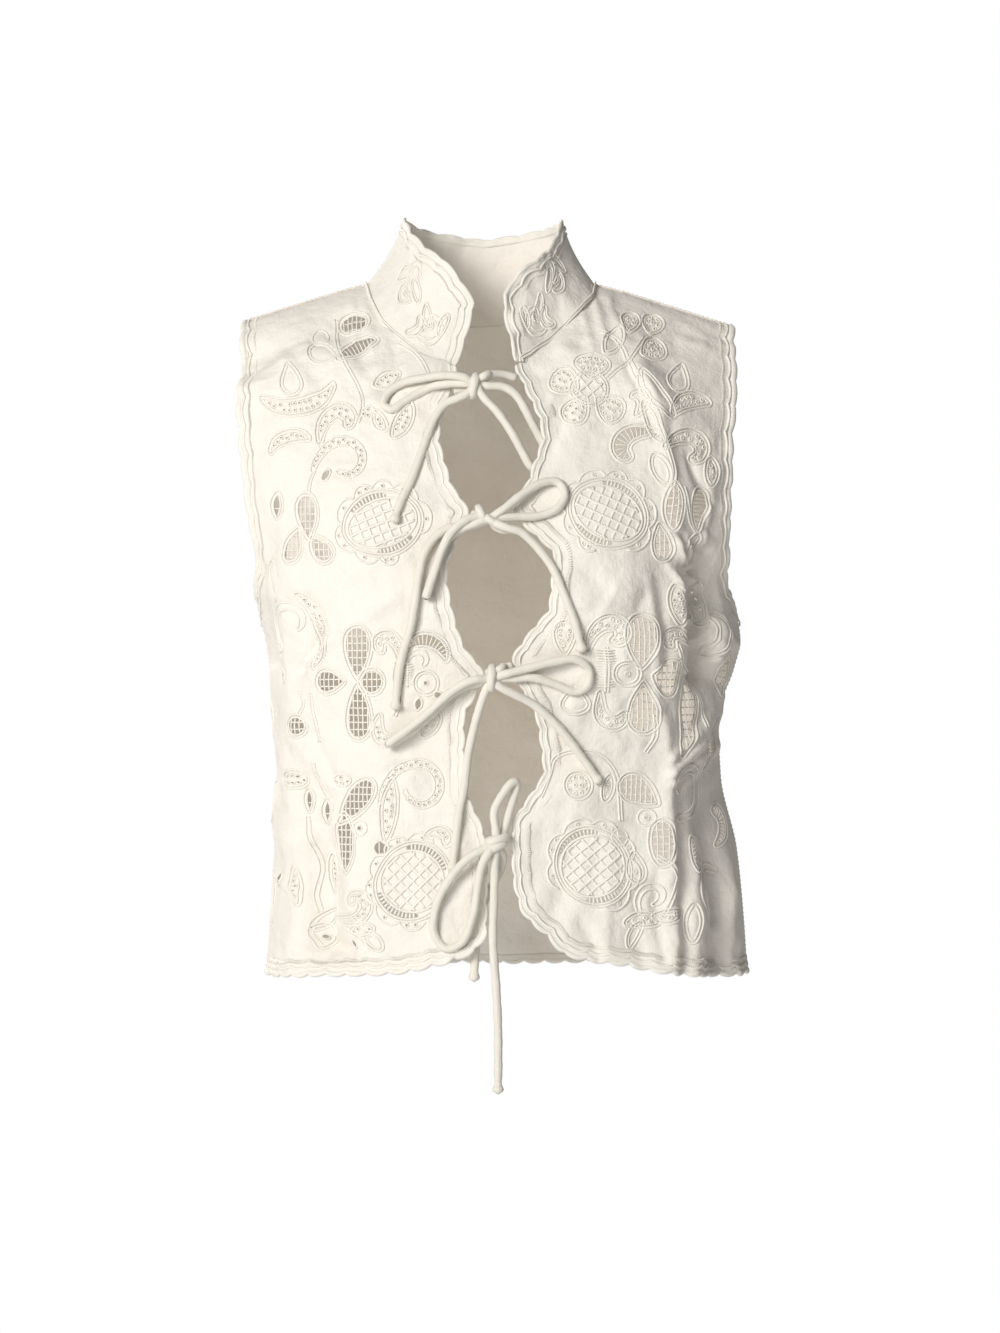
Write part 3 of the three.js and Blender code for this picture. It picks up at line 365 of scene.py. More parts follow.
# Scales of noise drawn out along the upright threads, the level ones and a tie; and how far the
# overcasting slants.
UPRIGHT_SLUB = (1500, 70, 1)
LEVEL_SLUB = (70, 1500, 1)
TIE_CREASE = (90, 420, 1)
SLANT = 0.35

# How much slubs and patches count in the linen's tint, and stitches in the cord's, where they paint shade
# into the grooves between the stitches.
SLUB_TINT, PATCH_TINT, STITCH_GROOVE_SHADE = 0.7, 0.45, 0.12


class Finish:
    """A fabric finish under construction: short ways to add and join shader nodes."""

    def __init__(self, name, roughness, sheen):
        self.material = bpy.data.materials.new(name)
        self.material.use_nodes = True
        self.nodes, self.links = self.material.node_tree.nodes, self.material.node_tree.links
        self.shader = self.nodes["Principled BSDF"]
        self.shader.inputs["Roughness"].default_value = roughness
        self.shader.inputs["Specular IOR Level"].default_value = SPECULAR
        self.shader.inputs["Sheen Weight"].default_value = sheen
        self.shader.inputs["Sheen Roughness"].default_value = SHEEN_ROUGHNESS
        places = self.nodes.new("ShaderNodeTexCoord")
        self.uv, self.solid = places.outputs["UV"], places.outputs["Object"]

    def put(self, value, socket):
        """Sets a socket to a number or joins it to an output."""
        if isinstance(value, bpy.types.NodeSocket):
            self.links.new(value, socket)
        else:
            socket.default_value = value

    def math(self, operation, first, second=0.0):
        """A sum, product or sine of numbers or outputs."""
        node = self.nodes.new("ShaderNodeMath")
        node.operation = operation
        self.put(first, node.inputs[0])
        self.put(second, node.inputs[1])
        return node.outputs[0]

    def scaled(self, source, scale):
        """A coordinate stretched along each axis."""
        node = self.nodes.new("ShaderNodeMapping")
        self.links.new(source, node.inputs["Vector"])
        node.inputs["Scale"].default_value = scale
        return node.outputs[0]

    def noise(self, vector, scale, detail=2.0, roughness=0.5):
        """Noise over a coordinate."""
        node = self.nodes.new("ShaderNodeTexNoise")
        self.links.new(vector, node.inputs["Vector"])
        node.inputs["Scale"].default_value = scale
        node.inputs["Detail"].default_value = detail
        node.inputs["Roughness"].default_value = roughness
        return node.outputs["Fac"]

    def grain(self):
        """The two distances of the uv map: across or along, and up or round."""
        node = self.nodes.new("ShaderNodeSeparateXYZ")
        self.links.new(self.uv, node.inputs[0])
        return node.outputs[0], node.outputs[1]

    def wave(self, distance, pitch):
        """Sine of a distance, one full turn a pitch."""
        return self.math("SINE", self.math("MULTIPLY", distance, 2 * np.pi / pitch))

    def tint(self, share, light, dark):
        """Colour between two tints by a share."""
        node = self.nodes.new("ShaderNodeMix")
        node.data_type = "RGBA"
        self.links.new(share, node.inputs["Factor"])
        node.inputs["A"].default_value = (*dark, 1)
        node.inputs["B"].default_value = (*light, 1)
        self.links.new(node.outputs["Result"], self.shader.inputs["Base Color"])

    def bumps(self, sizes, *heights):
        """Bump layers one over the other: a height, with its depth in metres and strength."""
        normal = None
        for (depth, strength), height in zip(sizes, heights):
            node = self.nodes.new("ShaderNodeBump")
            node.inputs["Distance"].default_value = depth
            node.inputs["Strength"].default_value = strength
            self.links.new(height, node.inputs["Height"])
            if normal is not None:
                self.links.new(normal, node.inputs["Normal"])
            normal = node.outputs[0]
        self.links.new(normal, self.shader.inputs["Normal"])
        return self.material


def linen_finish():
    """Plain-weave linen: threads over and under each other as the product of two sines on the grain,
    slubs as noise drawn out along both threads, and soft small crumples."""
    finish = Finish("ivory_linen", roughness=0.82, sheen=0.12)
    across, up = finish.grain()
    weave = finish.math("MULTIPLY", finish.wave(across, 2 * THREAD_PITCH), finish.wave(up, 2 * THREAD_PITCH))
    upright = finish.noise(finish.scaled(finish.uv, UPRIGHT_SLUB), 1.0, detail=3.0)
    level = finish.noise(finish.scaled(finish.uv, LEVEL_SLUB), 1.0, detail=3.0)
    slubs = finish.math("MULTIPLY", finish.math("ADD", upright, level), 0.5)
    patches = finish.noise(finish.solid, scale=14.0, detail=3.0)
    shade = finish.math("ADD", finish.math("MULTIPLY", slubs, SLUB_TINT),
                        finish.math("MULTIPLY", patches, PATCH_TINT))
    finish.tint(shade, *LINEN_TINTS)
    crumples = finish.noise(finish.solid, scale=60.0, detail=4.0, roughness=0.55)
    return finish.bumps(LINEN_BUMPS, crumples, slubs, weave)


def cord_finish():
    """Overcast embroidery cord: close slanting stitches round it, a little shinier than the cloth; the
    grooves between the stitches are painted a little darker, as shade.
    """
    finish = Finish("ivory_embroidery_cord", roughness=0.62, sheen=0.18)
    along, around = finish.grain()
    slant = finish.math("ADD", along, finish.math("MULTIPLY", around, SLANT))
    stitches = finish.wave(slant, OVERCAST_PITCH)
    patches = finish.noise(finish.solid, scale=30.0, detail=3.0)
    # Painted shade: the stitches' wave darkens the tint in the grooves between them; the patches are random
    # tone.
    share = finish.math("ADD", finish.math("MULTIPLY", stitches, STITCH_GROOVE_SHADE), patches)
    finish.tint(share, *CORD_TINTS)
    frays = finish.noise(finish.solid, scale=900.0)
    return finish.bumps(CORD_BUMPS, stitches, frays)


def tie_finish():
    """Linen cut on the bias and sewn into a cord: the weave slants, and fine creases run along it; the
    creases also darken its tint, as painted shade, mixed with random patches of tone.
    """
    finish = Finish("greyed_ivory_tie_linen", roughness=0.74, sheen=0.15)
    along, around = finish.grain()
    first = finish.wave(finish.math("ADD", along, around), 3 * THREAD_PITCH)
    second = finish.wave(finish.math("SUBTRACT", along, around), 3 * THREAD_PITCH)
    weave = finish.math("MULTIPLY", first, second)
    creases = finish.noise(finish.scaled(finish.uv, TIE_CREASE), 1.0, detail=3.0)
    patches = finish.noise(finish.solid, scale=45.0, detail=3.0)
    # Painted shade: the creases darken the tint in their troughs; the patches are random tone.
    share = finish.math("MULTIPLY", finish.math("ADD", creases, patches), 0.5)
    finish.tint(share, *TIE_TINTS)
    return finish.bumps(TIE_BUMPS, creases, weave)


def floor_finish():
    """Pale matt floor with a faint mottling."""
    finish = Finish("pale_floor", roughness=0.9, sheen=0.0)
    mottling = finish.noise(finish.solid, scale=6.0, detail=4.0)
    finish.tint(mottling, *FLOOR_TINTS)
    return finish.bumps(FLOOR_BUMPS, mottling)


LINEN = linen_finish()
EDGE_CORD = cord_finish()
TIE_LINEN = tie_finish()
FLOOR = floor_finish()

# ---- curves ----

FEWEST_STEPS = 4  # along a resampled path
SPAN_POINTS = 24  # of a smooth path between two of the points that it runs through


def smooth(keys, values):
    """A curve through (keys, values) that never overshoots: cubic pieces whose slope at a key is the
    harmonic mean of the two chords beside it, and zero where they differ in sign."""
    keys, values = np.asarray(keys, float), np.asarray(values, float)
    rises = np.diff(values) / np.diff(keys)
    before, after = rises[:-1], rises[1:]
    total = np.where(before * after > 0, before + after, 1)
    middle = np.where(before * after > 0, 2 * before * after / total, 0)
    slopes = np.concatenate([rises[:1], middle, rises[-1:]])

    def curve(key):
        """The curve's value at each key."""
        at = np.clip(key, keys[0], keys[-1])
        k = np.clip(np.searchsorted(keys, at, side="right") - 1, 0, len(keys) - 2)
        span = keys[k + 1] - keys[k]
        u = (at - keys[k]) / span
        v = 1 - u
        ends = values[k] * v * v * (1 + 2 * u) + values[k + 1] * u * u * (1 + 2 * v)
        return ends + span * u * v * (slopes[k] * v - slopes[k + 1] * u)

    return curve


def smooth_step(start, stop, at):
    """0 before start, 1 after stop, and the cubic 3u2 - 2u3 between them."""
    u = np.clip((at - start) / (stop - start), 0, 1)
    return u * u * (3 - 2 * u)


def unit(vectors):
    """The vectors at length one."""
    length = np.linalg.norm(vectors, axis=-1, keepdims=True)
    return vectors / np.maximum(length, TINY)


def lengths_along(path):
    """Distance along a path at each of its points."""
    steps = np.linalg.norm(np.diff(path, axis=0), axis=1)
    return np.concatenate([[0], np.cumsum(steps)])


def heading(path, closed=False):
    """Direction of a path at each of its points, of any length."""
    if closed:
        return np.roll(path, -1, axis=0) - np.roll(path, 1, axis=0)
    return np.gradient(path, axis=0)


def to_left(along):
    """Directions of the plane turned a quarter to the left."""
    return np.stack([-along[:, 1], along[:, 0]], axis=1)


def uneven(length, *waves):
    """A sum of sines along a length, each of a height, a speed and a start."""
    return sum(height * np.sin(length * speed + start) for height, speed, start in waves)


def at_places(rows, length, places):
    """Rows of numbers, such as points, read off at places given as lengths along them."""
    return np.stack([np.interp(places, length, row) for row in rows.T], axis=-1)


def resample(path, step, closed=False, axes=None):
    """The same path with its points a step apart, by the length over its first axes. A closed path
    doesn't repeat its first point."""
    if closed:
        path = np.vstack([path, path[:1]])
    length = lengths_along(path[:, :axes])
    count = max(int(round(length[-1] / step)), FEWEST_STEPS)
    at = np.linspace(0, length[-1], count + 1)
    if closed:
        at = at[:-1]
    return at_places(path, length, at)


def even_rows(step, closed, *columns):
    """Points a step apart along a path, and the directions or other points that go with them."""
    return np.split(resample(np.hstack(columns), step, closed, 3), len(columns), axis=1)


def through(points, step):
    """Smooth path through the points: a centripetal Catmull-Rom curve, with its points a step apart."""
    points = np.asarray(points, float)
    ends = np.vstack([2 * points[0] - points[1], points, 2 * points[-1] - points[-2]])
    a, b, c, d = ends[:-3], ends[1:-2], ends[2:-1], ends[3:]
    ab, bc, cd = (np.sqrt(np.linalg.norm(q - p, axis=1))[:, None] for p, q in ((a, b), (b, c), (c, d)))
    out = ((b - a) / ab - (c - a) / (ab + bc) + (c - b) / bc) * bc
    into = ((c - b) / bc - (d - b) / (bc + cd) + (d - c) / cd) * bc
    u = np.linspace(0, 1, SPAN_POINTS, endpoint=False)[:, None, None]
    curve = (
        (2 * u**3 - 3 * u**2 + 1) * b + (u**3 - 2 * u**2 + u) * out
        + (3 * u**2 - 2 * u**3) * c + (u**3 - u**2) * into
    )
    dense = np.vstack([curve.transpose(1, 0, 2).reshape(-1, points.shape[1]), points[-1:]])
    return resample(dense, step)


def columns_at(running, wanted):
    """Where each row's running number reaches the wanted ones: the column, and the share of the way
    from it to the next."""
    last = running.shape[1] - 2
    column = np.clip((running[:, None, :] <= wanted[..., None]).sum(axis=-1) - 1, 0, last)
    here, after = np.take_along_axis(running, column, 1), np.take_along_axis(running, column + 1, 1)
    return column, np.clip((wanted - here) / np.maximum(after - here, TINY), 0, 1)


def by_hand(hand, work, *values):
    """What a function of the hand gives, for an array of hands."""
    return np.where(hand == RIGHT, work(RIGHT, *values), work(LEFT, *values))


# ---- the torso ----

section_z_keys = SECTIONS[:, 0]
profile_steps = np.hypot(np.diff(section_z_keys), np.diff(SECTIONS[:, 5]))
PROFILE_LENGTH = profile_steps.sum()
section_keys = np.concatenate([[0], np.cumsum(profile_steps)]) / PROFILE_LENGTH
section_z = smooth(section_keys, section_z_keys)
section_slope = smooth(section_keys, SECTIONS[:, 1])
half_widths = {RIGHT: smooth(section_keys, SECTIONS[:, 2]), LEFT: smooth(section_keys, SECTIONS[:, 3])}
section_forward = smooth(section_keys, SECTIONS[:, 4])
depths = {"front": smooth(section_keys, SECTIONS[:, 5]), "back": smooth(section_keys, SECTIONS[:, 6])}
height_to_level = smooth(section_z_keys, section_keys)
edge_x = {hand: smooth(*FRONT_EDGES[hand].T) for hand in (RIGHT, LEFT)}
hem_rise_at = {hand: smooth(*HEM_RISES[hand].T) for hand in (RIGHT, LEFT)}
UNDERARM_LEVEL = float(height_to_level(UNDERARM_Z))
COLLAR_LEVEL = float(height_to_level(COLLAR_CORNER_Z))


def oval_half_width(hand, level):
    """Half-width of the whole rounded oval, of which the armhole cuts off the side."""
    cut = 1 - section_forward(level) ** SQUARENESS
    return half_widths[hand](level) / cut ** (1 / SQUARENESS)


def outer_turn(level):
    """Turn of the section at the side seam or the armhole's edge, in radians."""
    return np.arccos(section_forward(level) ** (SQUARENESS / 2))


def turn_at(hand, level, x):
    """Turn of the section where it is this far from the centre line."""
    share = np.minimum(np.abs(x) / oval_half_width(hand, level), 1)
    return np.arcsin(share ** (SQUARENESS / 2))


def shoulder_drop(x):
    """How far the shoulder falls: a straight slope outside the neck, softly rounded at its start."""
    past = np.abs(x - NECK_CENTRE) - NECK_HALF_WIDTH
    return SHOULDER_SLOPE * (past + np.hypot(past, SHOULDER_SOFTNESS)) / 2


def bust_proud(x, z):
    """Fullness over the bust: a bell across it and another up and down."""
    bust_x, bust_z, wide, up, down, proud = BUST
    high = np.where(z > bust_z, up, down)
    return proud * np.exp(-(((np.abs(x) - bust_x) / wide) ** 2) - ((z - bust_z) / high) ** 2)


def hem_rise(hand, face, level, x):
    """How far the front hem is lifted, fading with height."""
    if face == "back":
        return np.zeros(np.broadcast(level, x).shape)
    return hem_rise_at[hand](hand * x) * (1 - smooth_step(0, HEM_RISE_REACH, level))


def torso(hand, face, level, turn):
    """The smooth torso: a superellipse of this level at this turn, its height lowered by the shoulder
    slope and raised by the hem's rise, its depth filled out over the bust."""
    bend = 2 / SQUARENESS
    x = hand * oval_half_width(hand, level) * np.sin(turn) ** bend
    z = section_z(level) - section_slope(level) * shoulder_drop(x) + hem_rise(hand, face, level, x)
    reach = depths[face](level) * np.maximum(np.cos(turn), 0) ** bend
    if face == "front":
        return np.stack([x, -reach - bust_proud(x, z) * smooth_step(0, BUST_FROM, reach), z], axis=-1)
    return np.stack([x, reach, z], axis=-1)


FADE_IN = (-0.2, 0.3)  # where a fold starts and where it is whole, in shares of its length


def fold_height(folds, x, z):
    """Sum of soft ridges and troughs: each is a bell across its run, and fades at both ends."""
    x0, z0, x1, z1, width, proud = folds.T[..., None, None]
    length = np.hypot(x1 - x0, z1 - z0)
    along = ((x - x0) * (x1 - x0) + (z - z0) * (z1 - z0)) / length
    aside = ((x - x0) * (z1 - z0) - (z - z0) * (x1 - x0)) / length
    beyond = np.maximum(np.maximum(-along, along - length), 0)
    starts, whole = (share * length for share in FADE_IN)
    taper = smooth_step(starts, whole, along) * np.exp(-((beyond / width) ** 2))
    return (proud * taper * np.exp(-((aside / width) ** 2))).sum(axis=0)


# Lengths of the waves in the linen's unevenness, and how far they bend, in wavelengths: soft ones, the
# creases across and (so many times longer) along, and the patches that all come in; how fast they
# bend; how sharp a crease is, and how much the patches change.
SOFT_LENGTHS, SOFT_BEND = np.geomspace(12, 80, 24), 0.05
CREASE_LENGTHS, CREASE_BEND = np.geomspace(34, 96, 9), 0.12
CREASE_RUN, RUN_BEND = 2.3, 0.1
PATCH_LENGTHS, PATCH_BEND = np.array([150.0, 230.0]), 0.1
BENDING = 1.7
SHARPNESS = 6
PATCH_CHANGE = 0.5


def crumple(x, z, seed):
    """Unevenness of worn linen, in patches: a sum of sine waves in all directions, and creases, which
    are narrow ridges along waving lines, each the sixth power of a cosine."""
    chance = np.random.default_rng(seed)

    def waves(lengths, bend):
        """Phases of waves of these lengths, each with a direction and a start of its own."""
        turn = chance.uniform(0, np.pi, len(lengths))
        start = chance.uniform(0, 2 * np.pi, len(lengths))
        across = np.multiply.outer(x, np.cos(turn)) + np.multiply.outer(z, np.sin(turn))
        aside = np.multiply.outer(x, -np.sin(turn)) + np.multiply.outer(z, np.cos(turn))
        bent = across + bend * lengths * np.sin(aside / lengths * BENDING + 2 * start)
        return 2 * np.pi * bent / lengths + start

    soft = (np.sin(waves(SOFT_LENGTHS, SOFT_BEND)) * SOFT_LENGTHS).sum(axis=-1)
    ridges = np.cos(waves(CREASE_LENGTHS, CREASE_BEND) / 2) ** SHARPNESS
    creases = ridges * np.sin(waves(CREASE_LENGTHS * CREASE_RUN, RUN_BEND))
    patches = 1 + PATCH_CHANGE * np.sin(waves(PATCH_LENGTHS, PATCH_BEND)).sum(axis=-1)
    return patches * (CRUMPLE * soft + CREASE * (creases * CREASE_LENGTHS).sum(axis=-1))


def surface_normals(grid, outward):
    """Unit normals of a grid of points: the cross product of its two directions."""
    return outward * unit(np.cross(np.gradient(grid, axis=1), np.gradient(grid, axis=0)))


# ---- surfaces gathered into one piece ----

# A stitch's rings: their places along it, their size and how far they are lifted.
STITCH_PLACES = np.array([0.0, 0.2, 0.8, 1.0])
STITCH_SIZES = np.array([0.25, 1.0, 1.0, 0.25])
STITCH_LIFTS = np.array([0.0, 0.75, 0.75, 0.0])
STITCH_SIDES = 5


def ring_faces(count, sides, closed):
    """Corners, and the number of them for each face, over rings of points: four-sided faces between
    neighbouring rings, and a face over each end unless the path closes."""
    ring = np.arange(count if closed else count - 1)[:, None]
    side = np.arange(sides)[None, :]
    after, beside = (ring + 1) % count, (side + 1) % sides
    quads = np.stack([ring * sides + side, after * sides + side,
                      after * sides + beside, ring * sides + beside], axis=-1).ravel()
    counts = np.full(len(ring) * sides, 4)
    if closed:
        return quads, counts
    ends = [np.arange(sides), (count - 1) * sides + np.arange(sides)[::-1]]
    return np.concatenate([quads, *ends]), np.concatenate([counts, [sides, sides]])


def oval_ring(side, out, sides, flat=1.0):
    """Points round an oval about the origin: its width along `side`, its thickness along `out`."""
    turn = 2 * np.pi * np.arange(sides) / sides
    return np.cos(turn)[:, None] * side + flat * np.sin(turn)[:, None] * out


class Surface:
    """Collects faces in millimetres until they are made into one mesh."""

    def __init__(self):
        self.points, self.corners, self.counts, self.uvs = [], [], [], []
        self.total = 0

    def add(self, points, corners, counts, uv):
        """Adds points, the corners of all faces in a row, their number for each face, and their uv."""
        self.points.append(points)
        self.corners.append(np.asarray(corners).ravel() + self.total)
        self.counts.append(np.asarray(counts).ravel())
        self.uvs.append(uv)
        self.total += len(points)

    def add_rings(self, rings, closed):
        """A profile carried along a path: ring after ring of points. The uv is the length along, and
        round, in mm."""
        count, sides = rings.shape[:2]
        corners, counts = ring_faces(count, sides, closed)
        middle = rings.mean(axis=1)
        length = lengths_along(np.vstack([middle, middle[:1]]) if closed else middle)
        girth = np.linalg.norm(rings[:, 1] - rings[:, 0], axis=-1).mean() * sides
        ring, side = np.arange(len(length) - 1)[:, None], np.arange(sides)[None, :]
        u = np.stack([length[ring], length[ring + 1], length[ring + 1], length[ring]], axis=-1)
        v = np.stack([side, side, side + 1, side + 1], axis=-1) * (girth / sides)
        uv = np.stack([u + 0 * v, v + 0 * u], axis=-1).reshape(-1, 2)
        if not closed:
            uv = np.vstack([uv, np.zeros((2 * sides, 2))])
        self.add(rings.reshape(-1, 3), corners, counts, uv)

    def add_tube(self, path, up, radius, sides, closed=False, flat=1.0):
        """A cord: an oval carried along the path, upright in the frame of its direction and `up`."""
        along = heading(path, closed)
        side = unit(np.cross(along, up))
        out = unit(np.cross(side, along))
        size = np.broadcast_to(radius, len(path))[:, None, None]
        thick = np.broadcast_to(flat, len(path))[:, None, None]
        ring = oval_ring(side[:, None], out[:, None], sides, thick)
        self.add_rings(path[:, None] + size * ring, closed)

    def add_stitches(self, starts, ends, ups, radius):
        """Short straight stitches, all at once: spindles, full between their thin ends."""
        along = unit(ends - starts)
        side = unit(np.cross(along, ups))
        ring = oval_ring(side[:, None, None], np.cross(side, along)[:, None, None], STITCH_SIDES)
        middle = starts[:, None] + STITCH_PLACES[:, None] * (ends - starts)[:, None]
        middle = middle + (STITCH_LIFTS * radius)[:, None] * ups[:, None]
        points = middle[:, :, None] + radius * STITCH_SIZES[:, None, None] * ring
        stitches, rings = points.shape[:2]
        corners, counts = ring_faces(rings, STITCH_SIDES, False)
        offsets = (np.arange(stitches) * rings * STITCH_SIDES)[:, None]
        uv = np.stack([corners // STITCH_SIDES, corners % STITCH_SIDES], axis=-1) * 1.0
        self.add(points.reshape(-1, 3), corners + offsets, np.tile(counts, stitches),
                 np.tile(uv, (stitches, 1)))

    def make(self, name, finish, slot):
        """The gathered faces as one smooth-shaded piece that rides on the garment."""
        points = np.vstack(self.points)
        corners = np.concatenate(self.corners).astype(np.int32)
        counts = np.concatenate(self.counts)
        mesh = bpy.data.meshes.new(name)
        mesh.vertices.add(len(points))
        mesh.vertices.foreach_set("co", (points * MM).ravel())
        mesh.loops.add(len(corners))
        mesh.loops.foreach_set("vertex_index", corners)
        mesh.polygons.add(len(counts))
        starts = np.concatenate([[0], np.cumsum(counts)[:-1]]).astype(np.int32)
        mesh.polygons.foreach_set("loop_start", starts)
        mesh.polygons.foreach_set("use_smooth", np.ones(len(counts), bool))
        layer = mesh.uv_layers.new(name="grain")
        layer.data.foreach_set("uv", (np.vstack(self.uvs) * MM).ravel())
        mesh.update(calc_edges=True)
        mesh.validate()
        mesh.materials.append(finish)
        piece = bpy.data.objects.new(name, mesh)
        bpy.context.scene.collection.objects.link(piece)
        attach(piece, "root")
        return piece


# ---- cloth walls ----

LATTICE = 1.58  # step of the fronts' and the collar's points
BACK_LATTICE = 3.35  # step of the back's rows
BACK_SHOULDER_COLUMNS = 34
BACK_NECK_COLUMNS = 80
FRONT_WIDTH = np.hypot(170, 60)  # roughly, from the front edge to the side
TURN_SAMPLES = 161  # along a row, when its points are spaced evenly
EDGE_ROUNDS = 4  # how often the front edge's place and height are worked out from each other
PLACE_ROUNDS = 7  # how often a place's row and column are
HALVINGS = 40  # of the range in which the neckline's level lies
SHALLOWEST_NECK = 0.5  # depth of the back neckline below which it lies on the shoulder seam
FOLDS_FROM, FOLDS_WHOLE = 2, 30  # depth from the side seams over which the folds come in

# Quilting along the motifs: its depth, its reach, and the half-width of the sunk line; the swell beside
# it as a share of the depth, with its distance and half-width; how far out the outside starts and its
# share; and the lowest and the highest that all of them together may make, in depths.
PUFF = 0.5
PUFF_REACH = 9
SUNK_HALF_WIDTH = 2.4
SWELL_SHARE, SWELL_PLACE, SWELL_HALF_WIDTH = 0.8, 4.5, 2.6
OUTSIDE_FROM, OUTSIDE_SHARE = 3, 0.6
LOWEST_PUFF, HIGHEST_PUFF = -1.6, 1.3

# Seeds of each panel's unevenness, and the fold table of a panel without folds.
RIGHT_SEED, LEFT_SEED, BACK_SEED, COLLAR_SEED = 11, 4, 5, 9
NO_FOLDS = np.zeros((0, 6))

LAST_SPOT = 1.001  # how far short of the number of rows or columns a spot is kept
CUT_REACH = 3  # how far round a cut its distance is worked out
FAR_FROM_CUTS = 9.0  # the distance given to all places beyond that
CUT_MARGIN = 0.06  # least share of a lattice line that a cut leaves at either end


class Panel:
    """One wall of cloth: the smooth form, the form with its folds, and where the openwork is cut.

    `plane` gives each lattice point's place in the plane that the embroidery is drawn in, `grain` its
    distances across and up the cloth, and `cloth` its place with folds. `outward` is 1 or -1, as the
    normal of columns and rows has to be turned to point away from the wearer."""

    def __init__(self, form, plane, grain, outward, folds, seed):
        self.form, self.plane, self.grain, self.outward = form, plane, grain, outward
        fade = smooth_step(FOLDS_FROM, FOLDS_WHOLE, np.abs(form[..., 1]))
        height = fold_height(folds, form[..., 0], form[..., 2])
        height = fade * (height + crumple(grain[..., 0], grain[..., 1], seed))
        self.cloth = form + height[..., None] * surface_normals(form, outward)
        self.normals = surface_normals(self.cloth, outward)
        self.cuts = []

    def near(self, outline, reach):
        """The lattice points about an outline, and their signed distances from it."""
        low, high = outline.min(axis=0) - reach, outline.max(axis=0) + reach
        near = np.all((self.plane > low) & (self.plane < high), axis=-1)
        return near, signed_distance(self.plane[near], outline)

    def puff(self, outlines):
        """Quilts the cloth: it sinks along each closed outline and swells a little on both sides."""
        height = np.zeros(self.plane.shape[:2])
        for outline in outlines:
            near, distance = self.near(outline, PUFF_REACH)
            sunk = -PUFF * np.exp(-((distance / SUNK_HALF_WIDTH) ** 2))
            beside = (np.abs(distance) - SWELL_PLACE) / SWELL_HALF_WIDTH
            swollen = SWELL_SHARE * PUFF * np.exp(-(beside**2))
            height[near] += np.where(distance > OUTSIDE_FROM, OUTSIDE_SHARE, 1) * (sunk + swollen)
        height = np.clip(height, LOWEST_PUFF * PUFF, HIGHEST_PUFF * PUFF)
        self.cloth = self.cloth + height[..., None] * self.normals
        self.normals = surface_normals(self.cloth, self.outward)

    def lay(self, spots, lift):
        """Points of the cloth at these (row, column) spots, lifted off it, and the normals there: the
        four lattice points around each spot, mixed in proportion."""
        row, col = np.clip(spots, 0, np.array(self.cloth.shape[:2]) - LAST_SPOT).T
        r, c = row.astype(int), col.astype(int)
        u, v = (row - r)[:, None], (col - c)[:, None]

        def mix(grid):
            """A grid's values between the four lattice points."""
            lower = (1 - v) * grid[r, c] + v * grid[r, c + 1]
            upper = (1 - v) * grid[r + 1, c] + v * grid[r + 1, c + 1]
            return (1 - u) * lower + u * upper

        normals = unit(mix(self.normals))
        lift = np.broadcast_to(lift, len(spots))[:, None]
        return mix(self.cloth) + lift * normals, normals

    def drawn(self, points):
        """Places of the embroidery's plane for points given on the cloth: here they are the same."""
        return np.asarray(points, float)

    def clear_of_seam(self, outline):
        """How far an outline has to move to stay clear of a seam: nothing, unless a panel says so."""
        return 0

    def lay_plane(self, path, lift):
        """Points of the cloth at these places of the embroidery's plane, and the normals there."""
        return self.lay(self.find(path), lift)

    def solid(self):
        """Signed distance from the nearest cut at each lattice point: below zero inside a cut."""
        distance = np.full(self.plane.shape[:2], FAR_FROM_CUTS)
        for cut in self.cuts:
            near, to_cut = self.near(cut, CUT_REACH)
            distance[near] = np.minimum(distance[near], to_cut)
        return distance

    def make(self, name):
        """The wall as a mesh. Each lattice cell keeps the part of it where `solid` is above zero: its
        kept corners and the crossings on its sides, in order round the cell."""
        solid = self.solid()
        kept = solid > 0
        rows, cols = solid.shape
        ids = np.arange(rows * cols).reshape(rows, cols)
        flat_points = self.cloth.reshape(-1, 3)
        flat_grain = self.grain.reshape(-1, 2)
        flat_solid = solid.ravel()

        def crossings(first, second, start):
            """Ids, points and grain places where the cut crosses lattice lines."""
            crossed = kept.ravel()[first] != kept.ravel()[second]
            a, b = first[crossed], second[crossed]
            share = flat_solid[a] / (flat_solid[a] - flat_solid[b])
            share = np.clip(share, CUT_MARGIN, 1 - CUT_MARGIN)[:, None]
            numbers = np.full(first.shape, -1)
            numbers[crossed] = start + np.arange(crossed.sum())
            points = flat_points[a] + share * (flat_points[b] - flat_points[a])
            return numbers, points, flat_grain[a] + share * (flat_grain[b] - flat_grain[a])

        across, across_points, across_grain = crossings(ids[:, :-1], ids[:, 1:], rows * cols)
        upward, upward_points, upward_grain = crossings(
            ids[:-1], ids[1:], rows * cols + len(across_points)
        )
        corner = np.where(kept, ids, -1)
        cells = np.stack([
            corner[:-1, :-1], across[:-1], corner[:-1, 1:], upward[:, 1:],
            corner[1:, 1:], across[1:], corner[1:, :-1], upward[:, :-1],
        ], axis=-1).reshape(-1, 8)
        if self.outward < 0:
            cells = cells[:, ::-1]
        counts = (cells >= 0).sum(axis=1)
        corners = cells[cells >= 0]
        points = np.vstack([flat_points, across_points, upward_points])
        grain = np.vstack([flat_grain, across_grain, upward_grain])
        used, corners = np.unique(corners, return_inverse=True)
        surface = Surface()
        surface.add(points[used], corners, counts[counts > 0], grain[used][corners])
        piece = surface.make(name, LINEN, "linen")
        wall = piece.modifiers.new("wall", "SOLIDIFY")
        wall.thickness = CLOTH * MM
        wall.offset = -1
        return piece


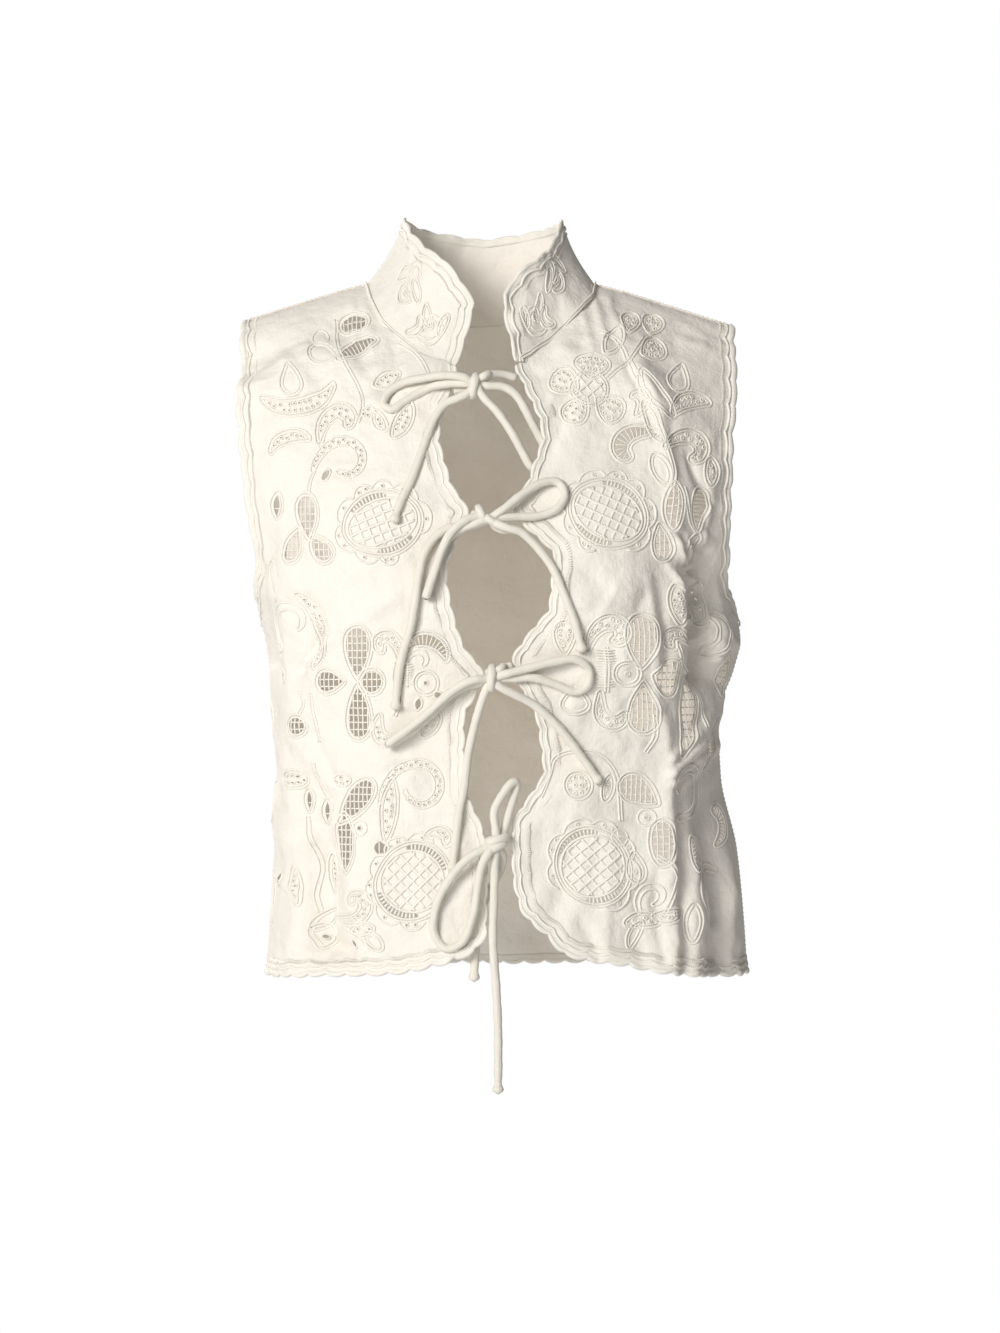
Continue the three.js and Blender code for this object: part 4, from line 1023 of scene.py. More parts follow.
def signed_distance(places, outline):
    """Distance from a closed outline to each place, below zero inside it: the least distance to its
    straight sides, with the sign from how many of them a line to the right crosses."""
    start, end = outline, np.roll(outline, -1, axis=0)
    side = end - start
    to_place = places[:, None] - start
    share = np.clip((to_place * side).sum(-1) / np.maximum((side**2).sum(-1), TINY), 0, 1)
    distance = np.linalg.norm(to_place - share[..., None] * side, axis=-1).min(axis=1)
    level = places[:, 1, None]
    spans = (start[:, 1] > level) != (end[:, 1] > level)
    rise = np.where(side[:, 1] == 0, TINY, side[:, 1])
    crossing = start[:, 0] + (level - start[:, 1]) / rise * side[:, 0]
    inside = (spans & (crossing > places[:, 0, None])).sum(axis=1) % 2 == 1
    return np.where(inside, -distance, distance)


def levels(step):
    """Levels of the lattice rows, a step apart, and which rows lie at the underarm and the collar."""
    marks = [0, UNDERARM_LEVEL, COLLAR_LEVEL, 1]
    counts = [int(round((b - a) * PROFILE_LENGTH / step)) for a, b in zip(marks, marks[1:])]
    parts = [np.linspace(a, b, n, endpoint=False) for a, b, n in zip(marks, marks[1:], counts)]
    return np.concatenate([*parts, [1]]), counts[0], counts[0] + counts[1]


def row_lengths(grid):
    """Running length of each row of a grid of points."""
    steps = np.linalg.norm(np.diff(grid, axis=1), axis=-1)
    return np.concatenate([np.zeros((len(grid), 1)), np.cumsum(steps, axis=1)], axis=1)


def even_turns(hand, level, inner, outer, count):
    """Turns of evenly spaced points along each row of a front, from the inner turn to the outer: many
    turns are laid out, and the wanted lengths are read off the running length of each row."""
    share = np.linspace(0, 1, TURN_SAMPLES)
    turns = inner[:, None] + share * (outer - inner)[:, None]
    length = row_lengths(torso(hand, "front", level[:, None], turns))
    k, u = columns_at(length, np.linspace(0, 1, count) * length[:, -1:])
    low, high = np.take_along_axis(turns, k, 1), np.take_along_axis(turns, k + 1, 1)
    return low + u * (high - low), length[:, -1]


class FrontPanel(Panel):
    """A front: rows follow the torso's levels, columns run from the front edge to the side."""

    def __init__(self, hand, folds, seed):
        self.hand = hand
        level, self.under, self.corner = levels(LATTICE)
        x = edge_x[hand](section_z(level))
        for _ in range(EDGE_ROUNDS):
            drop = section_slope(level) * shoulder_drop(x) * (level <= COLLAR_LEVEL)
            x = edge_x[hand](section_z(level) - drop + hem_rise(hand, "front", level, x))
        inner, outer = turn_at(hand, level, x), outer_turn(level)
        count = int(round(FRONT_WIDTH / LATTICE)) + 1
        turns, length = even_turns(hand, level, inner, outer, count)
        form = torso(hand, "front", level[:, None], turns)
        across = hand * (np.abs(x)[:, None] + np.linspace(0, 1, count) * length[:, None])
        grain = np.stack([across, np.broadcast_to((level * PROFILE_LENGTH)[:, None], across.shape)], -1)
        self.level = level
        steps = np.diff(form, axis=1)
        drawn = np.maximum(np.abs(steps[..., 0]), np.linalg.norm(steps, axis=-1) / MOST_STRETCH)
        drawn = np.concatenate([hand * form[:, :1, 0], drawn], axis=1).cumsum(axis=1)
        super().__init__(form, np.stack([hand * drawn, form[..., 2]], -1), grain, hand, folds, seed)

    def spots(self, path, across):
        """(row, column) of places: the row's level is the one whose height, less the shoulder's drop,
        is the place's second number; the column is where the row of `across` reaches its first one.
        The drop depends on x, so the two are found in turn, a few times over."""
        wanted, z = (self.hand * path[:, 0])[:, None], path[:, 1]
        x, level = path[:, 0], height_to_level(z)
        for _ in range(PLACE_ROUNDS):
            drop = section_slope(level) * shoulder_drop(x) - hem_rise(self.hand, "front", level, x)
            level = height_to_level(z + drop)
            row = np.interp(level, self.level, np.arange(len(self.level)))
            low = np.minimum(row.astype(int), len(self.level) - 2)
            u = (row - low)[:, None]
            reach = self.hand * ((1 - u) * across[low] + u * across[low + 1])
            col, share = columns_at(reach, wanted)
            nearest = np.round(col + share).astype(int)[:, 0]
            x = self.form[low, nearest, 0]
        return np.stack([row, (col + share)[:, 0]], axis=1)

    def find(self, path):
        """(row, column) of places of the embroidery's plane."""
        return self.spots(path, self.plane[..., 0])

    def drawn(self, points):
        """Places of the embroidery's plane for points (x, z) seen from the front."""
        points = np.asarray(points, float)
        spots = self.spots(points, self.form[..., 0])
        low = np.minimum(spots.astype(int), np.array(self.plane.shape[:2]) - 2)
        share = spots[:, 1] - low[:, 1]
        row = np.round(spots[:, 0]).astype(int)
        place = (1 - share) * self.plane[row, low[:, 1], 0] + share * self.plane[row, low[:, 1] + 1, 0]
        return np.stack([place, points[:, 1]], axis=1)

    def clear_of_seam(self, outline):
        """How far an outline has to go back towards the middle to stay clear of the side seam and of
        the armhole."""
        rows = np.round(self.spots(outline, self.plane[..., 0])[:, 0]).astype(int)
        limit = self.hand * self.plane[rows, -1, 0] - SEAM_CLEARANCE
        return max((self.hand * outline[:, 0] - limit).max(), 0)


def back_panel():
    """The back: columns run from the right armhole to the left, and those below the neck end on the
    neckline, each at the level where the torso is as deep as the neckline there."""
    level, under, _ = levels(BACK_LATTICE)
    side, neck = BACK_SHOULDER_COLUMNS, BACK_NECK_COLUMNS
    turn = np.linspace(-np.pi / 2, np.pi / 2, neck + 1)
    x = NECK_CENTRE + NECK_HALF_WIDTH * np.sin(turn)
    hand = np.where(x < 0, RIGHT, LEFT)
    depth = BACK_NECK_DEPTH * np.cos(turn)
    low, high = np.full(neck + 1, COLLAR_LEVEL), np.ones(neck + 1)
    for _ in range(HALVINGS):
        middle = (low + high) / 2
        share = np.minimum(np.abs(x) / by_hand(hand, oval_half_width, middle), 1)
        deep = depths["back"](middle) * np.cos(np.arcsin(share ** (SQUARENESS / 2))) ** (2 / SQUARENESS)
        low, high = np.where(deep > depth, middle, low), np.where(deep > depth, high, middle)
    top = np.where(depth > SHALLOWEST_NECK, (low + high) / 2, 1)
    neck_share = by_hand(hand, turn_at, top, x) / outer_turn(top)
    at_right = turn_at(RIGHT, 1.0, NECK_CENTRE - NECK_HALF_WIDTH) / outer_turn(1.0)
    at_left = turn_at(LEFT, 1.0, NECK_CENTRE + NECK_HALF_WIDTH) / outer_turn(1.0)
    hands = np.concatenate([np.full(side, RIGHT), hand, np.full(side, LEFT)])
    shares = np.concatenate([
        np.linspace(1, at_right, side, endpoint=False), neck_share,
        np.linspace(at_left, 1, side + 1)[1:],
    ])
    tops = np.concatenate([np.ones(side), top, np.ones(side)])
    above = np.clip((level - COLLAR_LEVEL) / (1 - COLLAR_LEVEL), 0, 1)[:, None]
    stretched = np.where(level[:, None] < COLLAR_LEVEL, level[:, None],
                         COLLAR_LEVEL + above * (tops - COLLAR_LEVEL))
    turns = shares * outer_turn(stretched)
    form = by_hand(hands[:, None], torso, "back", stretched, turns)
    across = row_lengths(form)
    across = across - across[:, side + neck // 2, None]
    grain = np.stack([across, stretched * PROFILE_LENGTH], axis=-1)
    panel = Panel(form, form[..., [0, 2]], grain, -1, BACK_FOLDS, BACK_SEED)
    panel.under = under
    return panel


class CollarPanel(Panel):
    """The stand collar: columns run round the neckline from the right front end to the left, rows up
    from the seam, from each point of the neckline straight to the top edge, a little hollow."""

    def __init__(self, seam):
        base = resample(seam, LATTICE)
        front_depth = np.where(base[:, 1] < 0, COLLAR_TOP_FRONT, BACK_NECK_DEPTH)
        turn = np.degrees(np.arctan2(np.abs(base[:, 0] - NECK_CENTRE) / NECK_HALF_WIDTH,
                                     -base[:, 1] / front_depth))
        hand = np.where(base[:, 0] < NECK_CENTRE, RIGHT, LEFT)
        end = np.where(hand == RIGHT, turn[0], turn[-1])
        wanted = by_hand(hand, COLLAR_ENDS.get)
        turn = turn + (wanted - end) * (1 - smooth_step(end, 90, turn))
        forward = np.cos(np.radians(turn))
        depth = np.where(forward > 0, COLLAR_TOP_FRONT, COLLAR_TOP_BACK)
        turns, *heights = COLLAR_TOP.T
        top_z = {side: smooth(turns, row)(turn) for side, row in zip((RIGHT, LEFT), heights)}
        top = np.stack([
            COLLAR_TOP_CENTRE + hand * COLLAR_TOP_HALF_WIDTH * np.sin(np.radians(turn)),
            -depth * forward,
            by_hand(hand, top_z.get),
        ], axis=-1)
        height = np.linalg.norm(top - base, axis=1)
        rows = int(round(height.max() / LATTICE)) + 1
        share = np.linspace(0, 1, rows)[:, None, None]
        form = base + share * (top - base)
        inwards = np.stack([NECK_CENTRE - form[..., 0], -form[..., 1], 0 * form[..., 0]], axis=-1)
        form = form + COLLAR_HOLLOW * np.sin(np.pi * share) * unit(inwards)
        length = lengths_along(base)
        middle = length[np.argmax(base[:, 1])]
        across = np.broadcast_to(length - middle, form.shape[:2])
        grain = np.stack([across, share[..., 0] * height], axis=-1)
        self.length, self.height = length - middle, height
        self.rows = rows
        super().__init__(form, grain, grain, -1, NO_FOLDS, COLLAR_SEED)

    def find(self, path):
        """(row, column) of the places (distance round from the middle back, height above the seam)."""
        col = np.interp(path[:, 0], self.length, np.arange(len(self.length)))
        height = np.interp(path[:, 0], self.length, self.height)
        return np.stack([path[:, 1] / height * (self.rows - 1), col], axis=1)


# ---- embroidery ----

# Couched cords: radius, and those of an outer, a single and a disc's cord; how flat and how far off
# the cloth they lie; the gap between the two of a double line; the step of their points; their sides.
CORD = 0.72
OUTER_CORD, SINGLE_CORD, DISC_CORD = CORD * 1.12, CORD * 1.1, CORD * 1.2
CORD_FLAT, CORD_LIFT = 0.9, 0.26
CORD_GAP = 2.1
CORD_STEP, CORD_SIDES = 1.5, 6

# Threads left in a cut: how flat and how far off the cloth they lie, the step of their points, their
# sides; spacing, radius and lift of the upright and of the level ones in a net; how far inside the
# outline the outermost may lie, and how far all of them run on under the cloth.
THREAD_FLAT, THREAD_LIFT = 0.8, -0.35
THREAD_STEP, THREAD_SIDES = 2.2, 5
NETS = [(3.2, 0.58, 0.0), (4.8, 0.54, -0.4)]
NET_MARGIN, NET_TUCK = 0.4, 0.3

# Bars across a narrow cut: spacing, radius, and the first and last one's distance from its ends, in
# spacings. Open shapes up to a length are bare, and the longer ones hold this many spacings.
BAR_SPACING, BAR_RADIUS = 2.7, 0.5
BAR_FIRST, BAR_LAST = 0.8, 0.6
LONGEST_BARE, OPEN_SPACINGS = 9, 2.2

# A cut's distance inside the outline's cord, and the step of its points; a motif shorter than the
# smallest double one has a single outline.
CUT_INSET, CUT_STEP = 0.1, 1.2
SMALLEST_DOUBLE = 12.5

# Round holes in a motif: spacing, radius, and whether they spread to both sides; the cloth kept free
# beside them in all; their sides, and the lift and least radius of the cord round them.
HOLES = {"eyelets": (12, 1.7, False), "dots": (3.5, 1.1, True)}
HOLE_MARGIN = 2.2
TIGHTEST = -1  # a row of holes is left out where there is less room than this
HOLE_SIDES, RIM_LIFT = 12, 0.2
RIM, RIM_GROWTH = 0.42, 0.08

# A double line's step, and the distance of its two cords from its middle.
STEM_STEP, STEM_HALF_GAP = 1.3, 1.0

# The step of a disc's outline; and its lattice of raised bars: spacing, distance inside the outline,
# radius, flatness, lifts.
DISC_STEP = 1.0
LATTICE_SPACING = 6.2
LATTICE_INSET = 1.2
LATTICE_BAR, LATTICE_FLAT = 1.0, 0.65
LATTICE_LIFTS = (0.15, 0.4)
LEFT_DISC_LATTICE = 40  # turn of the lattice of the disc without a ring
RING_GAP = 1.9  # between the two cords round a disc or a ring

# A medallion's pierced ring: its least width, where its two cuts start and end round it in degrees,
# how far they lie from the ring's inner and outer cord, and where and how close its bars run.
RING_LEAST = 2.0
RING_CUT_FROM, RING_CUT_TO = 48, 132
RING_INNER_EDGE, RING_OUTER_EDGE = 0.9, 0.7
RING_BARS_FROM = 0.2
RING_BAR_SPACING, RING_BAR_RADIUS = 2.5, 0.84

# Its lobes: how far they bulge and how squarely, and the eyelets in them: distance from the ring,
# radius, and how far two in one lobe lie from its middle, in lobes.
LOBE, LOBE_SHAPE = 5.6, 0.55
LOBE_EYELET_AT, LOBE_EYELET = 4.0, 1.2
LOBE_PAIR = 0.16

# Ladders of satin stitches: step, radius, lift, how far and how fast they sway, and how far the cord
# down the middle runs on past them.
LADDER_STEP = 1.7
LADDER_STITCH, LADDER_LIFT = 0.55, 0.1
LADDER_SWAY, LADDER_TURN = 0.6, 1.3
LADDER_PAST = 2

# Each shape: how its half-width grows from the base, how it shrinks to the tip (as powers of the
# share of the length), and how its bend gathers towards the tip.
SHAPES = {
    "leaf": (0.8, 0.8, 1.0),
    "petal": (0.95, 0.5, 1.0),
    "drop": (0.5, 1.1, 1.0),
    "oval": (0.5, 0.5, 1.0),
    "comma": (0.9, 0.5, 2.2),
    "hook": (0.3, 0.3, 1.6),
}

# Motifs of each front: shape, filling, x, z, turn of its length in degrees, length, width, bend.
RIGHT_MOTIFS = [
    ("oval", "net", -92, -30, 4, 19, 11, 0),
    ("oval", "plain", -114, -41, 60, 12, 10, 0),
    ("petal", "plain", -111, -53, 170, 17, 13, 0),
    ("leaf", "bars", -88, -50, 32, 30, 8, -45),
    ("drop", "plain", -131, -72, 100, 18, 11, 0),
    ("leaf", "dots", -128, -85, 12, 54, 9, 95),
    ("leaf", "dots", -68, -71, 26, 17, 8, 0),
    ("oval", "dots", -80, -95, 0, 9, 8, 0),
    ("leaf", "dots", -72, -101, -60, 13, 5, 40),
    ("leaf", "dots", -57, -101, 62, 24, 9, 20),
    ("comma", "dots", -102, -102, 13, 44, 8, -230),
    ("leaf", "dots", -133, -114, 20, 30, 6, -100),
    ("hook", "dots", -100, -125, -40, 76, 6, -300),
    ("oval", "open", -108, -137, 60, 9, 5, 0),
    ("leaf", "open", -142, -157, 84, 15, 5, 0),
    ("petal", "net", -121, -165, 96, 29, 13, 0),
    ("petal", "net", -110, -187, -56, 18, 12, 0),
    ("petal", "net", -131, -184, -112, 22, 11, 0),
    ("leaf", "plain", -143, -207, -84, 24, 8, 20),
    ("leaf", "dots", -118, -241, -78, 54, 9, -85),
    ("hook", "plain", -135, -238, 20, 62, 5, -260),
    ("leaf", "open", -140, -252, 60, 8, 4, 0),
    ("leaf", "open", -137, -271, 86, 10, 4, 0),
    ("petal", "net", -86, -256, 90, 34, 16, 0),
    ("petal", "net", -86, -295, -90, 36, 15, 0),
    ("petal", "net", -105, -275, 180, 18, 14, 0),
    ("oval", "net", -77, -275, 0, 14, 15, 0),
    ("comma", "dots", -66, -252, 173, 32, 6, 250),
    ("leaf", "bars", -41, -252, -10, 38, 8, -150),
    ("hook", "plain", -47, -259, -20, 26, 4, -230),
    ("oval", "eyelets", -41, -276, 0, 13, 13, 0),
    ("leaf", "open", -46, -290, 78, 9, 5, 0),
    ("oval", "open", -33, -284, 0, 6, 5, 0),
    ("comma", "dots", -70, -307, -60, 24, 6, 150),
    ("oval", "net", -128, -305, 0, 13, 12, 0),
    ("leaf", "dots", -38, -304, 52, 17, 7, 0),
    ("oval", "dots", -128, -341, 0, 16, 9, 0),
    ("oval", "dots", -98, -341, 0, 12, 8, 0),
    ("leaf", "open", -121, -355, 90, 13, 4, 0),
    ("leaf", "open", -111, -362, 88, 14, 4, 0),
    ("petal", "net", -88, -355, 50, 36, 15, 0),
    ("leaf", "net", -97, -383, -88, 38, 13, 0),
    ("oval", "eyelets", -86, -373, 0, 10, 10, 0),
    ("hook", "dots", -51, -343, -55, 100, 6, -350),
    ("leaf", "dots", -66, -361, 83, 40, 8, 0),
    ("oval", "open", -71, -386, 0, 10, 10, 0),
    ("comma", "dots", -91, -426, 78, 44, 6, 280),
    ("leaf", "dots", -84, -441, 10, 15, 7, 0),
    ("leaf", "plain", -76, -448, -45, 13, 6, 0),
    ("leaf", "open", -90, -450, 120, 7, 4, 0),
    ("drop", "eyelets", -116, -446, -100, 14, 10, 0),
    ("leaf", "plain", -114, -434, 225, 18, 5, 20),
    ("leaf", "dots", -129, -413, -80, 24, 6, 10),
    ("leaf", "open", -139, -409, 70, 10, 5, 0),
    ("leaf", "dots", -111, -404, -84, 24, 5, 0),
    ("comma", "dots", -33, -378, -30, 20, 5, -170),
    ("comma", "bars", -150, -358, 80, 36, 8, 160),
    ("petal", "net", -151, -300, 84, 26, 12, 0),
    ("leaf", "bars", -148, -424, 84, 28, 9, 20),
]
LEFT_MOTIFS = [
    ("petal", "dots", 70, -64, 84, 14, 21, 0),
    ("petal", "dots", 51, -72, 150, 17, 15, 0),
    ("petal", "dots", 58, -94, -128, 18, 15, 0),
    ("petal", "dots", 82, -93, -40, 18, 15, 0),
    ("leaf", "plain", 84, -46, 60, 18, 9, 20),
    ("petal", "dots", 97, -32, 76, 16, 10, 0),
    ("petal", "dots", 113, -31, 70, 13, 12, 0),
    ("petal", "dots", 112, -50, 35, 17, 14, 0),
    ("drop", "plain", 128, -70, 75, 19, 12, 0),
    ("leaf", "plain", 112, -84, -52, 36, 9, 30),
    ("leaf", "dots", 136, -89, 20, 32, 9, -90),
    ("comma", "plain", 100, -90, 110, 18, 5, 170),
    ("leaf", "plain", 109, -103, -66, 28, 5, 0),
    ("comma", "bars", 98, -116, 232, 38, 10, 200),
    ("comma", "dots", 132, -117, -35, 46, 8, -240),
    ("leaf", "plain", 114, -134, -68, 20, 7, 0),
    ("leaf", "net", 123, -159, -88, 29, 10, 0),
    ("petal", "net", 117, -182, -82, 23, 11, 0),
    ("drop", "bars", 142, -160, -92, 27, 11, 0),
    ("leaf", "plain", 139, -187, -96, 20, 7, 20),
    ("petal", "dots", 51, -246, 90, 20, 11, 0),
    ("comma", "dots", 79, -243, -9, 46, 8, -270),
    ("petal", "net", 101, -248, 88, 33, 19, 0),
    ("oval", "eyelets", 92, -269, 0, 14, 14, 0),
    ("petal", "net", 119, -272, -10, 18, 24, 0),
    ("petal", "net", 103, -292, -90, 33, 17, 0),
    ("comma", "dots", 82, -294, -32, 36, 7, 200),
    ("petal", "plain", 58, -288, -90, 14, 16, 0),
    ("leaf", "dots", 127, -224, -78, 26, 9, 0),
    ("comma", "dots", 127, -246, 200, 26, 6, 220),
    ("drop", "net", 135, -299, -104, 54, 14, -30),
    ("comma", "plain", 160, -244, 84, 36, 8, 120),
    ("leaf", "dots", 151, -222, 96, 26, 7, 0),
    ("oval", "dots", 60, -344, 0, 15, 15, 0),
    ("leaf", "dots", 80, -346, 78, 16, 5, 0),
    ("petal", "net", 100, -347, 142, 27, 17, 0),
    ("oval", "eyelets", 106, -366, 0, 11, 11, 0),
    ("oval", "net", 115, -383, -88, 29, 13, 0),
    ("oval", "open", 88, -379, 0, 11, 11, 0),
    ("hook", "plain", 137, -350, 125, 78, 6, 300),
    ("petal", "plain", 99, -399, -80, 18, 9, 0),
    ("hook", "plain", 108, -420, -5, 44, 4, -300),
    ("leaf", "dots", 103, -434, 0, 22, 7, -40),
    ("leaf", "dots", 120, -432, 10, 18, 6, 50),
    ("leaf", "plain", 98, -444, -115, 17, 5, 20),
    ("leaf", "plain", 137, -437, 88, 24, 7, 0),
    ("hook", "plain", 154, -417, 70, 58, 6, -190),
    ("leaf", "bars", 141, -391, 100, 22, 7, 30),
    ("petal", "net", 163, -270, 90, 26, 12, 0),
    ("leaf", "bars", 153, -318, 60, 36, 8, -20),
    ("comma", "bars", 163, -372, 90, 34, 9, 170),
    ("leaf", "dots", 152, -134, 86, 18, 7, 0),
]

# Double lines of cord that join the motifs: the points that each runs through.
RIGHT_STEMS = [
    [(-104, -27), (-104, -38), (-101, -50), (-96, -62), (-88, -76), (-84, -88), (-87, -102)],
    [(-60, -45), (-50, -52), (-43, -62), (-40, -70)],
    [(-116, -134), (-119, -142), (-120, -149)],
    [(-102, -436), (-92, -443), (-84, -447), (-77, -453)],
    [(-127, -281), (-124, -291), (-127, -298)],
    [(-119, -283), (-118, -293), (-116, -303), (-114, -316)],
    [(-104, -402), (-107, -414), (-106, -428), (-101, -440)],
    [(-60, -262), (-62, -274), (-58, -286), (-62, -298)],
    [(-122, -366), (-120, -382), (-118, -398), (-120, -418), (-118, -430)],
    [(-106, -362), (-112, -350), (-116, -330)],
]
LEFT_STEMS = [
    [(80, -72), (87, -66), (94, -61), (100, -53), (106, -43)],
    [(76, -40), (86, -45), (91, -53), (93, -60)],
    [(95, -62), (99, -74), (103, -86), (109, -97), (115, -108), (118, -120), (122, -134), (121, -146)],
    [(79, -252), (79.5, -266), (79, -282)],
    [(126, -396), (124, -408), (122, -420), (118, -430)],
    [(128, -146), (131, -156), (136, -168), (141, -176)],
    [(126, -250), (129, -262), (135, -268), (143, -276), (146, -290), (146, -306)],
    [(112, -392), (120, -398), (126, -410)],
    [(110, -296), (110, -312), (104, -322)],
    [(144, -378), (150, -392), (150, -404)],
    [(35, -352), (37, -337), (45, -326), (60, -321), (76, -325), (85, -336), (88, -354), (89, -368)],
]

# Medallions: x, z, length, width and turn of the disc, turn of its lattice, turn and width of the
# pierced ring, and the first and last lobe's place round it, in degrees, with the number of lobes.
RIGHT_MEDALLIONS = [
    (-70, -170, 47, 32, 16, 22, 30, 5.2, -10, 300, 8),
    (-50, -408, 42, 41, 0, 45, -30, 5.4, 60, 290, 6),
]
LEFT_MEDALLIONS = [
    (80, -163, 48, 34, -26, -24, -30, 5.2, -60, 255, 8),
    (70, -398, 42, 41, 0, 40, 30, 5.4, -75, 215, 7),
]
# Lattice discs without a ring: x, z, length, width, turn.
LEFT_DISCS = [(68, -79, 22, 20, -10)]
# Ladders of level satin stitches: x, z, width, height.
LEFT_LADDERS = [(78, -266, 14, 26)]
RIGHT_LADDERS = [(-53, -270, 9, 16)]

# Collar motifs: shape, filling, distance back from the front end, height, turn, length, width, bend.
COLLAR_MOTIFS = [
    ("hook", "plain", 24, 17, 60, 48, 4, -330),
    ("leaf", "plain", 31, 24, 40, 16, 5, 50),
    ("leaf", "plain", 16, 24, 100, 13, 4, 30),
    ("comma", "plain", 37, 13, 100, 18, 4, -160),
    ("hook", "plain", 63, 38, 120, 44, 4, 300),
    ("leaf", "plain", 53, 32, 30, 16, 5, -40),
    ("leaf", "plain", 73, 33, 130, 17, 5, 40),
    ("comma", "plain", 61, 24, 20, 20, 4, 170),
]

SHAPE_POINTS = 49  # along each side of a shape


def shape_lines(shape, x, z, turn, length, width, bend):
    """The left and right side of a shape, from its base to its tip: the centre line's heading turns by
    `bend` in all, the half-width is share**base * (1 - share)**tip, and the whole is turned and set
    with the middle of its extent at (x, z)."""
    base, tip, gather = SHAPES[shape]
    share = (1 - np.cos(np.pi * np.linspace(0, 1, SHAPE_POINTS))) / 2
    widest = base / (base + tip)
    half = width / 2 * (share / widest) ** base * ((1 - share) / (1 - widest)) ** tip
    bearing = np.radians(turn) + np.radians(bend) * (share**gather - 1 / (gather + 1))
    steps = length * np.diff(share)
    middle = (bearing[1:] + bearing[:-1]) / 2
    line = np.vstack([[0, 0], np.cumsum(steps[:, None] * np.stack([np.cos(middle), np.sin(middle)], 1), 0)])
    side = half[:, None] * np.stack([-np.sin(bearing), np.cos(bearing)], axis=1)
    left, right = line + side, line - side
    both = np.vstack([left, right])
    shift = np.array([x, z]) - (both.min(axis=0) + both.max(axis=0)) / 2
    return left + shift, right + shift


def grow(outline, by):
    """A closed outline moved out by a distance: each point goes along the normal there."""
    outwards = to_left(unit(heading(outline, True)))
    return outline + np.broadcast_to(by, len(outline))[:, None] * outwards


def closed_shape(left, right):
    """A shape's closed outline: up its left side and down its right."""
    return np.vstack([left, right[-2:0:-1]])


def chords(outline, axis, places, past=0.0):
    """The ends of each stretch inside a closed outline of the lines at these places across an axis,
    drawn out a little past the outline."""
    start, end = outline, np.roll(outline, -1, axis=0)
    for place in places:
        spans = (start[:, axis] > place) != (end[:, axis] > place)
        a, b = start[spans], end[spans]
        share = (place - a[:, axis]) / (b[:, axis] - a[:, axis])
        crossings = a[:, 1 - axis] + share * (b[:, 1 - axis] - a[:, 1 - axis])
        for low, high in np.sort(crossings).reshape(-1, 2):
            ends = np.array([(place, low - past), (place, high + past)])
            yield ends if axis == 0 else ends[:, ::-1]


def turned(points, degrees, about):
    """Points of the plane turned about one of them."""
    c, s = np.cos(np.radians(degrees)), np.sin(np.radians(degrees))
    return (points - about) @ np.array([[c, s], [-s, c]]) + about


